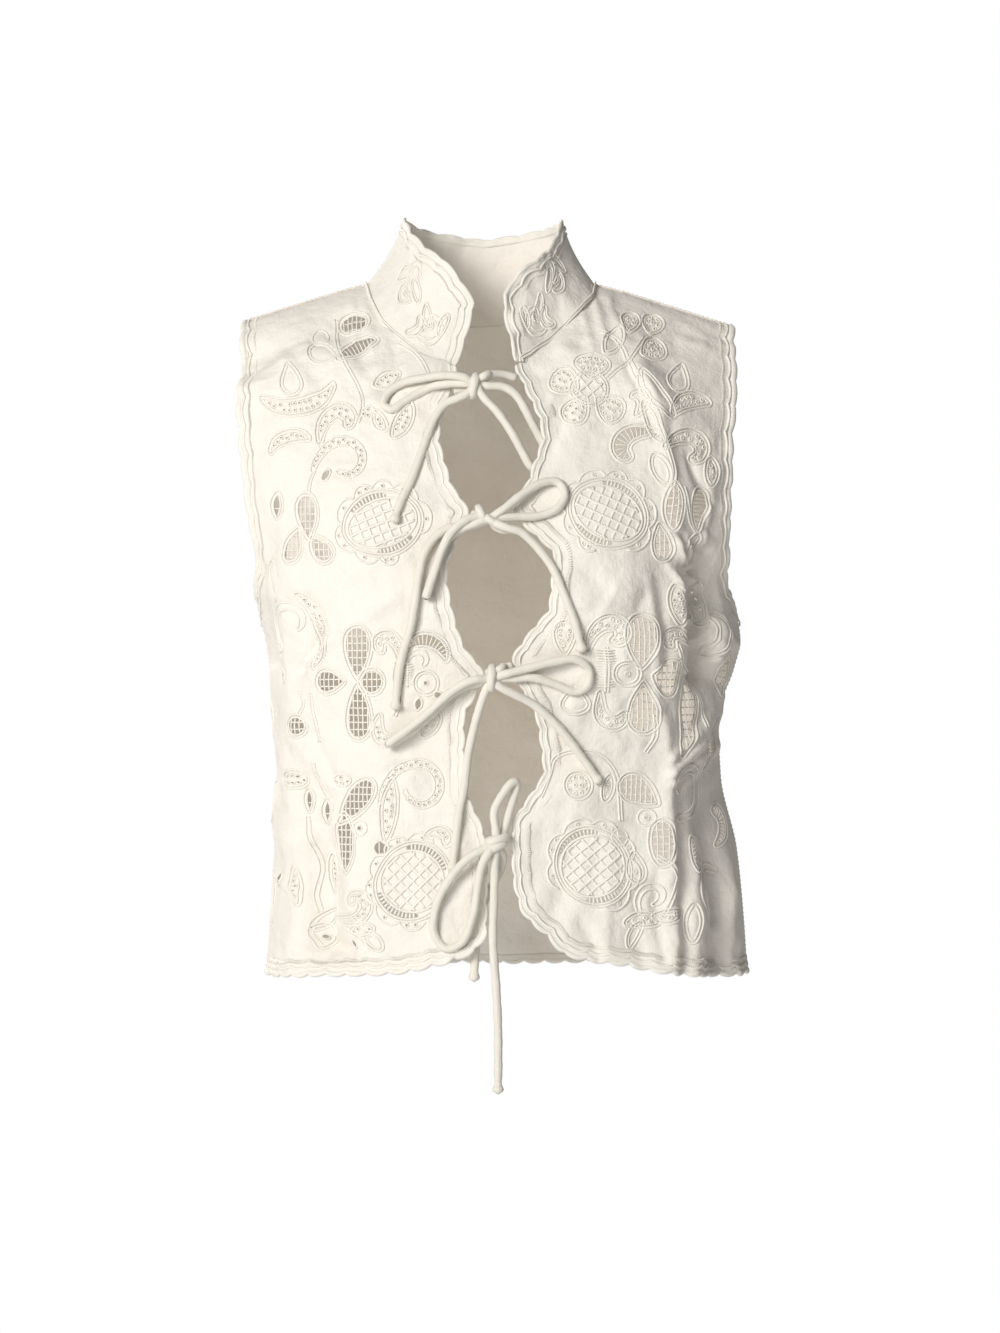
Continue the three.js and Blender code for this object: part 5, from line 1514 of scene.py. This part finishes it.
class Needlework:
    """The embroidery of one panel: its raised cords, the threads in its cuts, and the cuts."""

    def __init__(self, panel):
        self.panel = panel
        self.cords, self.threads = Surface(), Surface()

    def cord(self, path, closed=False, radius=CORD, lift=CORD_LIFT, flat=CORD_FLAT):
        """A couched cord: a small tube half sunk in the cloth along a path of the plane."""
        path = resample(path, CORD_STEP, closed)
        points, normals = self.panel.lay_plane(path, lift)
        self.cords.add_tube(points, normals, radius, CORD_SIDES, closed, flat)

    def thread(self, start, end, radius, lift=THREAD_LIFT):
        """A thread left in a cut: a thin tube straight across it, inside the cloth's thickness."""
        count = max(int(np.linalg.norm(end - start) / THREAD_STEP), 2)
        share = np.linspace(0, 1, count + 1)[:, None]
        points, normals = self.panel.lay_plane(start + share * (end - start), lift)
        self.threads.add_tube(points, normals, radius, THREAD_SIDES, False, THREAD_FLAT)

    def net(self, outline):
        """Threads of a drawn-thread ground, level with the grain, on one grid for the whole cloth."""
        for axis, (spacing, radius, lift) in enumerate(NETS):
            low, high = outline[:, axis].min() + NET_MARGIN, outline[:, axis].max() - NET_MARGIN
            places = np.arange(np.ceil(low / spacing), high / spacing) * spacing
            for start, end in chords(outline, axis, places, NET_TUCK):
                self.thread(start, end, radius, lift)

    def bars(self, left, right, spacing=BAR_SPACING, radius=BAR_RADIUS):
        """Bars across a narrow cut, from one side to the other."""
        length = lengths_along((left + right) / 2)
        for place in np.arange(spacing * BAR_FIRST, length[-1] - spacing * BAR_LAST, spacing):
            self.thread(at_places(left, length, place), at_places(right, length, place), radius)

    def eyelet(self, x, z, radius):
        """A small round hole with a corded rim."""
        turn = np.linspace(2 * np.pi, 0, HOLE_SIDES, endpoint=False)
        ring = np.array([x, z]) + radius * np.stack([np.cos(turn), np.sin(turn)], axis=1)
        self.panel.cuts.append(ring)
        points, normals = self.panel.lay_plane(ring, RIM_LIFT)
        self.cords.add_tube(points, normals, RIM + RIM_GROWTH * radius, CORD_SIDES, True)

    def holes(self, left, right, spacing, radius, spread):
        """Eyelets along a shape: as many abreast as it has room for if they spread, lying a little to
        each side in turn, or else one in the middle."""
        length = lengths_along((left + right) / 2)
        count = max(int(round(length[-1] / spacing)), 1)
        wide = np.linalg.norm(left - right, axis=1)
        for k, place in enumerate((np.arange(count) + 0.5) / count * length[-1]):
            across = np.interp(place, length, wide)
            room = across - 2 * radius - HOLE_MARGIN
            if room < TIGHTEST:
                continue
            near, far = (at_places(side, length, place) for side in (left, right)[:: 1 if k % 2 else -1])
            abreast = 1 + int(max(room, 0) / spacing)
            reach = max(room, 0) / across * spread
            if abreast == 1:
                leans = [0.5 + 0.5 * reach]
            else:
                leans = 0.5 + reach * (np.arange(abreast) / (abreast - 1) - 0.5)
            for lean in leans:
                self.eyelet(*(lean * near + (1 - lean) * far), radius)

    def motif(self, shape, filling, x, z, turn, length, width, bend):
        """One motif: its outline, double unless it is small, and its filling."""
        left, right = shape_lines(shape, x, z, turn, length, width, bend)
        outline = closed_shape(left, right)
        if shape == "hook" or max(length, width) < SMALLEST_DOUBLE:
            self.cord(outline, closed=True, radius=SINGLE_CORD)
        else:
            self.cord(outline, closed=True)
            self.cord(grow(outline, CORD_GAP), closed=True, radius=OUTER_CORD)
        if filling in ("net", "bars", "open"):
            self.panel.cuts.append(resample(grow(outline, -CUT_INSET), CUT_STEP, True))
        if filling == "net":
            self.net(outline)
        elif filling == "bars":
            self.bars(left, right)
        elif filling == "open" and length > LONGEST_BARE:
            self.bars(left, right, length / OPEN_SPACINGS)
        elif filling in HOLES:
            self.holes(left, right, *HOLES[filling])

    def stem(self, points):
        """Two cords side by side along a smooth path."""
        line = through(points, STEM_STEP)
        for way in (-STEM_HALF_GAP, STEM_HALF_GAP):
            self.cord(line + way * to_left(unit(heading(line))))

    def disc(self, x, z, length, width, turn, lattice_turn):
        """An oval of solid cloth under a lattice of raised bars."""
        left, right = shape_lines("oval", x, z, turn, length, width, 0)
        outline = resample(closed_shape(left, right), DISC_STEP, True)
        middle = np.array([x, z], float)
        self.cord(outline, closed=True, radius=DISC_CORD)
        inner = turned(grow(outline, -LATTICE_INSET), -lattice_turn, middle)
        for axis, lift in enumerate(LATTICE_LIFTS):
            count = int((inner[:, axis].max() - inner[:, axis].min()) / LATTICE_SPACING)
            places = middle[axis] + (np.arange(count + 1) - count / 2) * LATTICE_SPACING
            for ends in chords(inner, axis, places):
                self.cord(turned(ends, lattice_turn, middle), False, LATTICE_BAR, lift, LATTICE_FLAT)
        return outline

    def medallion(self, x, z, length, width, turn, lattice_turn, ring_turn, ring, first, last, lobes):
        """A lattice disc in a pierced ring, which is widest on two sides, with scalloped lobes round
        it. Everything outside the disc is its outline moved out by a distance that waves round it."""
        outline = self.disc(x, z, length, width, turn, lattice_turn)
        angle = np.degrees(np.arctan2(outline[:, 1] - z, outline[:, 0] - x))
        swell = np.sin(np.radians(angle - ring_turn)) ** 2
        reach = RING_LEAST + (ring - RING_LEAST) * swell
        self.cord(grow(outline, reach), closed=True)
        self.cord(grow(outline, reach + RING_GAP), closed=True, radius=SINGLE_CORD)
        for side in (0, 180):
            past = (angle - ring_turn - side) % 360
            part = np.flatnonzero((past > RING_CUT_FROM) & (past < RING_CUT_TO))
            part = part[np.argsort(past[part])]
            near, far, bar_start, bar_end = (
                grow(outline, by)[part]
                for by in (RING_INNER_EDGE, reach - RING_OUTER_EDGE, RING_BARS_FROM, reach)
            )
            self.panel.cuts.append(np.vstack([near, far[::-1]]))
            self.bars(bar_start, bar_end, RING_BAR_SPACING, RING_BAR_RADIUS)
        share = (((angle - first) % 360) / (last - first)) * lobes
        part = np.flatnonzero((share > 0) & (share < lobes))
        part = part[np.argsort(share[part])]
        bulge = LOBE * np.abs(np.sin(np.pi * share)) ** LOBE_SHAPE
        self.cord(grow(outline, reach + RING_GAP + bulge)[part], radius=SINGLE_CORD)
        holes = grow(outline, reach + LOBE_EYELET_AT)[part]
        for k in range(lobes):
            for shift in (-LOBE_PAIR, LOBE_PAIR) if k % 2 else (0.0,):
                spot = np.interp(k + 0.5 + shift, share[part], np.arange(len(part)))
                self.eyelet(*holes[int(spot)], LOBE_EYELET)

    def ladder(self, x, z, width, height):
        """Level satin stitches one above the other, with a cord down the middle."""
        count = int(height / LADDER_STEP)
        up = z + (np.arange(count) - (count - 1) / 2) * LADDER_STEP
        sway = uneven(np.arange(count), (LADDER_SWAY, LADDER_TURN, 0))
        (starts, normals), (ends, _) = (
            self.panel.lay_plane(np.stack([x + end + sway, up], axis=1), LADDER_LIFT)
            for end in (-width / 2, width / 2)
        )
        self.cords.add_stitches(starts, ends, normals, LADDER_STITCH)
        self.cord(np.array([(x, up[0] - LADDER_PAST), (x, up[-1] + LADDER_PAST)], float))


# ---- corded edges and seams ----

STITCH_EVERY = 1.3

# A scalloped edge: how squarely its lobes swell; the rolled cord's sides, lift, share of its width
# between two lobes and what a lobe adds, and its unevenness (height, speed, start); the inner cord's
# sides and lift; how much of its wave the stitches follow, how deep they lie in, and how far they stay
# from the edge's two ends.
LOBE_POWER = 0.7
ROLL_SIDES, ROLL_LIFT = 12, -0.1
ROLL_NARROW, ROLL_SWELL = 0.72, 0.28
ROLL_WAVES = [(0.18, 0.23, 0), (0.12, 0.61, 1)]
INNER_SIDES, INNER_LIFT = 8, 0.4
STITCH_WAVE, STITCH_SINK, STITCH_MARGIN = 0.6, 0.34, 0.8

# The padded band from the rolled cord to the cloth, in section: places across it, in mm inside the
# cloth's edge and as shares of the way to the rolled cord outside it, and heights off the cloth.
BAND_ACROSS = np.array([-1.5, 0.1, 0.5, 1.0, 1.0, 0.5, 0.1, -1.5])
BAND_LIFTS = np.array([0.1, 0.5, 0.7, 0.35, -1.1, -1.4, -1.3, -1.0])

# A felled seam in section: places across it in widths, and heights; the step of its points; its
# stitches' distance from the middle in widths, their lift and radius.
SEAM_ACROSS = np.array([-0.5, -0.38, 0, 0.38, 0.5, 0.38, 0, -0.38])
SEAM_LIFTS = np.array([-0.1, 0.36, 0.44, 0.36, -0.1, -0.6, -0.7, -0.6])
SEAM_STEP = 1.6
SEAM_STITCH_AT, SEAM_STITCH_LIFT, SEAM_STITCH = 0.32, 0.36, 0.2


class Edge:
    """An edge of a panel: evenly spaced points, the normals there, and the way out of the cloth, which
    is square to the edge and the normal, and averaged over neighbours so that corners turn softly."""

    STEP = 1.3

    def __init__(self, points, normals, inside, closed=False, soften=3):
        self.points, normals, inside = even_rows(self.STEP, closed, points, normals, inside)
        self.normals = unit(normals)
        self.closed = closed
        away = unit(np.cross(heading(self.points, closed), self.normals))
        facing = np.sign(((self.points - inside) * away).sum(axis=1))
        away = away * facing[:, None]
        reach = np.arange(-soften, soften + 1)
        spots = np.arange(len(away))[:, None] + reach
        spots = spots % len(away) if closed else np.clip(spots, 0, len(away) - 1)
        away = away[spots].mean(axis=1)
        self.away = unit(away - (away * self.normals).sum(axis=1)[:, None] * self.normals)
        self.length = lengths_along(self.points)
        self.total = self.length[-1] + (self.STEP if closed else 0)

    def lobes(self, period):
        """Height of the scallops along the edge: the sine's absolute value, a whole number of arcs."""
        count = max(int(round(self.total / period)), 1)
        return np.abs(np.sin(np.pi * count * self.length / self.total))

    def shifted(self, out, up):
        """Points moved out of the cloth by `out` and off its face by `up`."""
        out = np.broadcast_to(out, len(self.points))[:, None]
        up = np.broadcast_to(up, len(self.points))[:, None]
        return self.points + out * self.away + up * self.normals


# How each edge is finished, in mm: how far its scallops swing, the rolled cord's distance outside the
# cloth's edge, half-width and half-thickness, the inner cord's distance outside the edge, swing and
# radius, where its stitches start and end inside the edge, how far they lean, and their radius.
FRONT_STYLE = {"swing": 1.5, "offset": 2.1, "wide": 1.5, "thick": 1.4, "line": -1.4, "wave": 1.5,
               "cord": 0.65, "near": 5.6, "far": 8.8, "lean": 0.0, "stitch": 0.38}
HEM_STYLE = {"swing": 2.2, "offset": 1.9, "wide": 1.9, "thick": 2.0, "line": -2.3, "wave": 2.3,
             "cord": 0.95, "near": 4.8, "far": 7.8, "lean": 1.0, "stitch": 0.5}
ARMHOLE_STYLE = {"swing": 0.9, "offset": 1.7, "wide": 2.6, "thick": 1.8, "line": -3.2, "wave": 2.5,
                 "cord": 0.85, "near": 6.6, "far": 8.4, "lean": 0.0, "stitch": 0.42}
COLLAR_STYLE = {"swing": 1.0, "offset": 2.3, "wide": 1.6, "thick": 1.35, "line": -3.0, "wave": 2.2,
                "cord": 0.95, "near": 6.0, "far": 7.4, "lean": 0.0, "stitch": 0.38}


def corded_edge(name, edge, period, node, style):
    """A scalloped edge: a thick rolled cord that swings out and back with the scallops, a padded band
    from it to the cloth, a finer cord that waves inside it, and a row of satin stitches."""
    lobe = edge.lobes(period) ** LOBE_POWER
    value = {key: np.broadcast_to(number, len(edge.points)) for key, number in style.items()}
    reach = value["offset"] + value["swing"] * lobe
    wide = value["wide"] * (ROLL_NARROW + ROLL_SWELL * lobe)
    surface = Surface()
    roll = edge.shifted(reach, uneven(edge.length, *ROLL_WAVES) + ROLL_LIFT)
    surface.add_tube(roll, edge.normals, wide, ROLL_SIDES, edge.closed, value["thick"] / value["wide"])
    outs = np.where(BAND_ACROSS < 0, BAND_ACROSS, BAND_ACROSS * reach[:, None])
    band = (edge.points[:, None] + outs[..., None] * edge.away[:, None]
            + BAND_LIFTS[:, None] * edge.normals[:, None])
    surface.add_rings(facing_out(band), edge.closed)
    line = edge.shifted(value["line"] + value["wave"] * lobe, INNER_LIFT)
    surface.add_tube(line, edge.normals, value["cord"], INNER_SIDES, edge.closed)
    wave = STITCH_WAVE * value["wave"] * lobe
    proud = value["stitch"] - STITCH_SINK
    near = edge.shifted(wave - value["near"], proud)
    far = edge.shifted(wave - value["far"], proud)
    at = np.arange(STITCH_MARGIN, edge.length[-1] - STITCH_MARGIN, STITCH_EVERY)
    ahead = np.minimum(at + np.interp(at, edge.length, value["lean"]), edge.length[-1])
    start, end, normals = (
        at_places(rows, edge.length, places)
        for places, rows in ((at, near), (ahead, far), (at, edge.normals))
    )
    surface.add_stitches(start, end, unit(normals), float(value["stitch"].mean()))
    piece = surface.make(name, EDGE_CORD, "border_cord")
    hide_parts(node)
    return piece


def facing_out(rings):
    """The rings with their points in the order that turns the faces outwards, which shows in the sign
    of the middle ring's area about the path's direction."""
    ring, next_ring = rings[len(rings) // 2], rings[len(rings) // 2 + 1]
    middle = ring.mean(axis=0)
    area = np.cross(ring - middle, np.roll(ring, -1, axis=0) - middle).sum(axis=0)
    inwards = area @ (next_ring.mean(axis=0) - middle) < 0
    return rings[:, ::-1] if inwards else rings


def flat_seam(surface, points, normals, width):
    """A felled seam: a low strip with rounded sides, and a row of small stitches near each side."""
    path, up = even_rows(SEAM_STEP, False, points, normals)
    up = unit(up)
    side = unit(np.cross(heading(path), up))
    across = SEAM_ACROSS * width
    rings = path[:, None] + across[:, None] * side[:, None] + SEAM_LIFTS[:, None] * up[:, None]
    surface.add_rings(facing_out(rings), False)
    for way in (-SEAM_STITCH_AT, SEAM_STITCH_AT):
        line = path + way * width * side + SEAM_STITCH_LIFT * up
        surface.add_stitches(line[:-2:2], line[1:-1:2], up[:-2:2], SEAM_STITCH)


# ---- the garment ----

right_front = FrontPanel(RIGHT, RIGHT_FRONT_FOLDS, RIGHT_SEED)
left_front = FrontPanel(LEFT, LEFT_FRONT_FOLDS, LEFT_SEED)
back = back_panel()


def neckline():
    """The neckline as sewn: up the right front, round the back and down the left front."""
    up, down = (front.cloth[front.corner :, 0] for front in (right_front, left_front))
    across = back.cloth[-1, BACK_SHOULDER_COLUMNS : BACK_SHOULDER_COLUMNS + BACK_NECK_COLUMNS + 1]
    return np.vstack([up[:-1], across, down[-2::-1]])


collar = CollarPanel(neckline())


def placed(panel, motif):
    """A motif with its middle put in the embroidery's plane, clear of the seams."""
    shape, filling, x, z, *numbers = motif
    place = panel.drawn([(x, z)])[0]
    outline = np.vstack(shape_lines(shape, *place, *numbers))
    back_by = np.sign(x) * panel.clear_of_seam(outline)
    return (shape, filling, place[0] - back_by, place[1], *numbers)


def embroider(panel, motifs, stems, medallions=(), discs=(), ladders=()):
    """All the needlework of a panel, with its cuts left in the panel. The cloth is puffed first, from
    the outlines of the motifs."""
    motifs = [placed(panel, motif) for motif in motifs]
    panel.puff([closed_shape(*shape_lines(shape, *numbers)) for shape, _, *numbers in motifs])
    work = Needlework(panel)
    for motif in motifs:
        work.motif(*motif)
    for stem in stems:
        work.stem(panel.drawn(stem))
    for x, z, *numbers in medallions:
        work.medallion(*panel.drawn([(x, z)])[0], *numbers)
    for x, z, length, width, turn in discs:
        outline = work.disc(*panel.drawn([(x, z)])[0], length, width, turn, LEFT_DISC_LATTICE)
        work.cord(grow(outline, RING_GAP), closed=True)
    for x, z, width, height in ladders:
        work.ladder(*panel.drawn([(x, z)])[0], width, height)
    return work


def collar_motifs(hand):
    """The collar's motifs, measured back from one front end."""
    end = collar.length[0] if hand == RIGHT else collar.length[-1]
    return [
        (shape, filling, end - hand * back_by, z, turn if hand == RIGHT else 180 - turn, length, width,
         bend if hand == RIGHT else -bend)
        for shape, filling, back_by, z, turn, length, width, bend in COLLAR_MOTIFS
    ]


right_work = embroider(right_front, RIGHT_MOTIFS, RIGHT_STEMS, RIGHT_MEDALLIONS, (), RIGHT_LADDERS)
left_work = embroider(left_front, LEFT_MOTIFS, LEFT_STEMS, LEFT_MEDALLIONS, LEFT_DISCS, LEFT_LADDERS)
collar_work = embroider(collar, collar_motifs(RIGHT) + collar_motifs(LEFT), [])

right_cloth = right_front.make("right_front_cloth")
left_cloth = left_front.make("left_front_cloth")
back_cloth = back.make("back_cloth")
collar_cloth = collar.make("collar_cloth")
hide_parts("right_front")
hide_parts("left_front")
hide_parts("back")
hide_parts("collar")

right_cords = right_work.cords.make("right_front_embroidery", EDGE_CORD, "border_cord")
left_cords = left_work.cords.make("left_front_embroidery", EDGE_CORD, "border_cord")
collar_cords = collar_work.cords.make("collar_embroidery", EDGE_CORD, "border_cord")
right_threads = right_work.threads.make("right_front_openwork_threads", LINEN, "linen")
left_threads = left_work.threads.make("left_front_openwork_threads", LINEN, "linen")

# The point that tells an edge which way the cloth lies: so many lattice steps inside, or below the
# underarm, which reaches this far up; and the scallops' lengths along the fronts and hems, and
# round the armholes and collar.
INSIDE = 6
UNDERARM_HEIGHT, BELOW_UNDERARM = 6, 10
HEM_SCALLOP, ROUND_SCALLOP = 15, 20

# How level the front edge lies where the hem's finish starts and where it is whole, and how far above
# the side hem it may be.
LEVEL_FROM, LEVEL_WHOLE = 0.45, 0.85
HEM_REACH = 60

SIDE_SEAM_WIDTH, SHOULDER_SEAM_WIDTH = 5.5, 6.0

# The two cords over the collar's seam: distance off the cloth, height above the seam, radius.
NECK_CORDS = [(0.3, 0, 0.85), (0.2, 2.1, 0.6)]
NECK_CORD_SIDES = 8


def front_edge(front):
    """From the collar corner down the front edge, then along the hem to the side seam."""
    columns = front.cloth.shape[1]
    rows = np.concatenate([np.arange(front.corner - 1, 0, -1), np.zeros(columns, int)])
    cols = np.concatenate([np.zeros(front.corner - 1, int), np.arange(columns)])
    inside = front.cloth[np.maximum(rows, INSIDE), np.maximum(cols, INSIDE)]
    return Edge(front.cloth[rows, cols], front.normals[rows, cols], inside, soften=4)


def armhole_edge(front, back_col):
    """Round the armhole: up the front from the underarm and down the back."""
    inner = back_col - INSIDE if back_col else INSIDE

    def around(front_grid, front_col, back_grid, col):
        """Up a column of the front's grid and down one of the back's."""
        return np.vstack([front_grid[front.under :, front_col], back_grid[-2 : back.under : -1, col]])

    points = around(front.cloth, -1, back.cloth, back_col)
    normals = around(front.normals, -1, back.normals, back_col)
    inside = around(front.cloth, -1 - INSIDE, back.cloth, inner)
    low = points[:, 2] < UNDERARM_Z + UNDERARM_HEIGHT
    inside[low] = points[low] - [0, 0, BELOW_UNDERARM]
    return Edge(points, normals, inside, closed=True, soften=5)


def collar_edge():
    """Up the right front end, round the top and down the left front end."""
    rows, cols = collar.cloth.shape[:2]
    r = np.concatenate([np.arange(rows), np.full(cols - 2, rows - 1), np.arange(rows - 1, -1, -1)])
    c = np.concatenate([np.zeros(rows, int), np.arange(1, cols - 1), np.full(rows, cols - 1)])
    inside = collar.cloth[np.minimum(r, rows - INSIDE), np.clip(c, INSIDE, cols - INSIDE)]
    return Edge(collar.cloth[r, c], collar.normals[r, c], inside, soften=4)


def front_and_hem(edge):
    """The front edge's finish, turning into the hem's where the edge turns level."""
    share = smooth_step(LEVEL_FROM, LEVEL_WHOLE, np.abs(edge.away[:, 2]))
    share = np.where(edge.points[:, 2] < HEM_Z + HEM_REACH, share, 0)
    return {key: FRONT_STYLE[key] + (HEM_STYLE[key] - FRONT_STYLE[key]) * share for key in HEM_STYLE}


right_edge, left_edge = front_edge(right_front), front_edge(left_front)
back_hem = Edge(back.cloth[0], back.normals[0], back.cloth[INSIDE])
right_border = corded_edge("right_front_and_hem_edge", right_edge, HEM_SCALLOP, "border_right_front",
                           front_and_hem(right_edge))
left_border = corded_edge("left_front_and_hem_edge", left_edge, HEM_SCALLOP, "border_left_front",
                          front_and_hem(left_edge))
back_border = corded_edge("back_hem_edge", back_hem, HEM_SCALLOP, "border_back_hem", HEM_STYLE)
right_armhole = corded_edge("right_armhole_edge", armhole_edge(right_front, 0), ROUND_SCALLOP,
                            "border_right_armhole", ARMHOLE_STYLE)
left_armhole = corded_edge("left_armhole_edge", armhole_edge(left_front, -1), ROUND_SCALLOP,
                           "border_left_armhole", ARMHOLE_STYLE)
collar_border = corded_edge("collar_edge", collar_edge(), ROUND_SCALLOP, "border_collar", COLLAR_STYLE)

seams = Surface()
for front in (right_front, left_front):
    side = slice(None, front.under), -1
    flat_seam(seams, front.cloth[side], front.normals[side], SIDE_SEAM_WIDTH)
    ridge = front.normals[-1] * [1, 0, 1]
    flat_seam(seams, front.cloth[-1], unit(ridge), SHOULDER_SEAM_WIDTH)
seam_pieces = seams.make("side_and_shoulder_seams", LINEN, "linen")

neck_cords = Surface()
neck_path, neck_up = even_rows(CORD_STEP, False, collar.cloth[0], collar.normals[0])
for lift, rise, radius in NECK_CORDS:
    neck_cords.add_tube(neck_path + lift * neck_up + [0, 0, rise], neck_up, radius, NECK_CORD_SIDES)
neck_piece = neck_cords.make("collar_seam_cords", EDGE_CORD, "border_cord")


# ---- ties and knots ----

# A tie's cord: step, sides, and how uneven it is (height and speed of two waves); the knob at its far
# end and the neck before it, each with its swelling, distance from the end and length; and the share
# of the radius that is left at the very tip.
TIE_STEP, TIE_SIDES = 1.5, 12
TIE_WAVES = (0.03, 0.35), (0.025, 0.83)
KNOB = [(0.36, 3.0, 2.0), (-0.1, 8, 2.5)]
TIP = 0.18

# A knot's bands: points round each, sides of its cord, and how uneven it is.
BAND_POINTS, BAND_SIDES = 44, 14
BAND_WAVE = (0.05, 3)


def over_front(route):
    """Points in millimetres of places (x, z, lift) in metres, the lift measured out from the closed
    front of the torso."""
    x, z, lift = np.asarray(route, float).T / MM
    level = height_to_level(z)
    hand = np.where(x < 0, RIGHT, LEFT)
    share = np.minimum(np.abs(x) / by_hand(hand, oval_half_width, level), 1)
    reach = depths["front"](level) * (1 - share**SQUARENESS) ** (1 / SQUARENESS)
    return np.stack([x, -(reach + bust_proud(x, z) + lift), z], axis=-1)


def tie(name, knot, route):
    """One tie: a soft round cord along its route, uneven by a few hundredths, closed at its far end by
    a small rounded knob."""
    path = through(over_front(route), TIE_STEP)
    length = lengths_along(path)
    left = length[-1] - length
    radius = TIE_FULLNESS * TIE_DIAMETER / MM / 2
    waves = [(*wave, k * knot) for k, wave in enumerate(TIE_WAVES, 1)]
    knob = 1 + sum(swell * np.exp(-(((left - at) / reach) ** 2)) for swell, at, reach in KNOB)
    tip = np.sqrt(np.clip(1 - (1 - left / radius) ** 2, 0, 1))
    tip = np.where(left < radius, np.maximum(tip, TIP), 1)
    surface = Surface()
    up = np.broadcast_to([0.0, -1.0, 0.0], path.shape)
    surface.add_tube(path, up, radius * (1 + uneven(length, *waves)) * knob * tip, TIE_SIDES)
    piece = surface.make(name, TIE_LINEN, "tie_linen")
    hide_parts(*[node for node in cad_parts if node.startswith(name + "_")])


def knot_bands(name, middle, bands):
    """The wraps of a knot: each is a cord round a standing oval, wide across its tilt."""
    surface = Surface()
    turn = np.linspace(0, 2 * np.pi, BAND_POINTS, endpoint=False)[:, None]
    for x, z, tilt, half_length, half_depth, radius in bands:
        centre = middle + [x, 0, z]
        along = np.array([np.cos(np.radians(tilt)), 0, np.sin(np.radians(tilt))])
        path = centre + half_length * np.cos(turn) * along + half_depth * np.sin(turn) * [0, 1, 0]
        size = radius * (1 + uneven(turn[:, 0], (*BAND_WAVE, tilt)))
        surface.add_tube(path, unit(path - centre), size, BAND_SIDES, True)
    piece = surface.make(name, TIE_LINEN, "tie_linen")
    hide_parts(name.replace("_bands", ""))


for number, (middle, bands) in enumerate(zip(over_front(KNOTS), KNOT_BANDS), 1):
    knot_bands(f"knot_{number}_bands", middle, bands)
for row in TIES:
    tie(*row)


# ---- floor, light and camera ----

FLOOR_Z = -1.25
FLOOR_RADIUS = 3.3
FLOOR_HUB = 0.02  # radius of the innermost ring
FLOOR_RINGS, FLOOR_SIDES = 12, 96

# Square lights, in metres and watts: name, place, the point that it faces, size, power, colour.
LIGHTS = [
    ("key", (-2.0, -3.1, 1.05), (0, 0, -0.25), 1.2, 84, (1, 0.975, 0.93)),
    ("fill", (-1.35, -3.1, 0.5), (0, 0, -0.25), 1.3, 46, (1, 0.985, 0.97)),
    ("behind", (-1.5, 2.7, 0.9), (0, 0, -0.25), 1.2, 62, (1, 0.98, 0.95)),
    ("inside", (0, -0.02, -0.25), (0, 1, -0.25), 0.2, 0.042, (1, 0.86, 0.7)),
]
SEEN_STRENGTH, GIVEN_STRENGTH = 1.0, 0.185
GIVEN_COLOUR = (1, 0.98, 0.95, 1)
CAMERA_PLACE = (0.0083, -3.0, -0.265)
LENS, SENSOR = 117.48, 36
GAMMA = 1.12


def floor_disc():
    """A flat disc: rings of points about the middle, out to the floor's radius."""
    turn = np.linspace(0, 2 * np.pi, FLOOR_SIDES, endpoint=False)
    radius = np.linspace(FLOOR_HUB, FLOOR_RADIUS, FLOOR_RINGS)[:, None]
    x, y = radius * np.cos(turn), radius * np.sin(turn)
    points = np.stack([x, y, np.full(x.shape, FLOOR_Z)], axis=-1).reshape(-1, 3)
    corners, counts = ring_faces(FLOOR_RINGS, FLOOR_SIDES, False)
    quads = corners[: 4 * (counts == 4).sum()].reshape(-1, 4)
    mesh = bpy.data.meshes.new("floor")
    mesh.from_pydata(points.tolist(), [], [*quads.tolist(), list(range(FLOOR_SIDES))])
    mesh.materials.append(FLOOR)
    floor = bpy.data.objects.new("floor", mesh)
    bpy.context.scene.collection.objects.link(floor)


def soft_light(name, place, aim, size, power, colour):
    """A square area light at a place, turned to face a point."""
    light = bpy.data.lights.new(name, "AREA")
    light.size, light.energy, light.color = size, power, colour
    lamp = bpy.data.objects.new(name, light)
    lamp.location = place
    lamp.visible_camera = False
    way = np.array(aim) - np.array(place)
    flat = np.hypot(way[0], way[1])
    lamp.rotation_euler = (np.arctan2(flat, -way[2]), 0, np.arctan2(way[1], way[0]) - np.pi / 2)
    bpy.context.scene.collection.objects.link(lamp)


def white_room():
    """White surroundings: the light that they give is softer than the white that is seen."""
    world = bpy.data.worlds.new("white_room")
    bpy.context.scene.world = world
    world.use_nodes = True
    nodes, links = world.node_tree.nodes, world.node_tree.links
    seen = nodes.new("ShaderNodeBackground")
    seen.inputs["Color"].default_value = (1, 1, 1, 1)
    seen.inputs["Strength"].default_value = SEEN_STRENGTH
    given = nodes["Background"]
    given.inputs["Color"].default_value = GIVEN_COLOUR
    given.inputs["Strength"].default_value = GIVEN_STRENGTH
    choice, path = nodes.new("ShaderNodeMixShader"), nodes.new("ShaderNodeLightPath")
    links.new(path.outputs["Is Camera Ray"], choice.inputs[0])
    links.new(given.outputs[0], choice.inputs[1])
    links.new(seen.outputs[0], choice.inputs[2])
    links.new(choice.outputs[0], nodes["World Output"].inputs[0])


floor_disc()
white_room()
for light in LIGHTS:
    soft_light(*light)

camera_data = bpy.data.cameras.new("camera")
camera_data.lens = LENS
camera_data.sensor_width = SENSOR
camera = bpy.data.objects.new("camera", camera_data)
camera.location = CAMERA_PLACE
camera.rotation_euler = (np.pi / 2, 0, 0)
bpy.context.scene.collection.objects.link(camera)
bpy.context.scene.camera = camera
bpy.context.scene.view_settings.view_transform = "Standard"
bpy.context.scene.view_settings.gamma = GAMMA
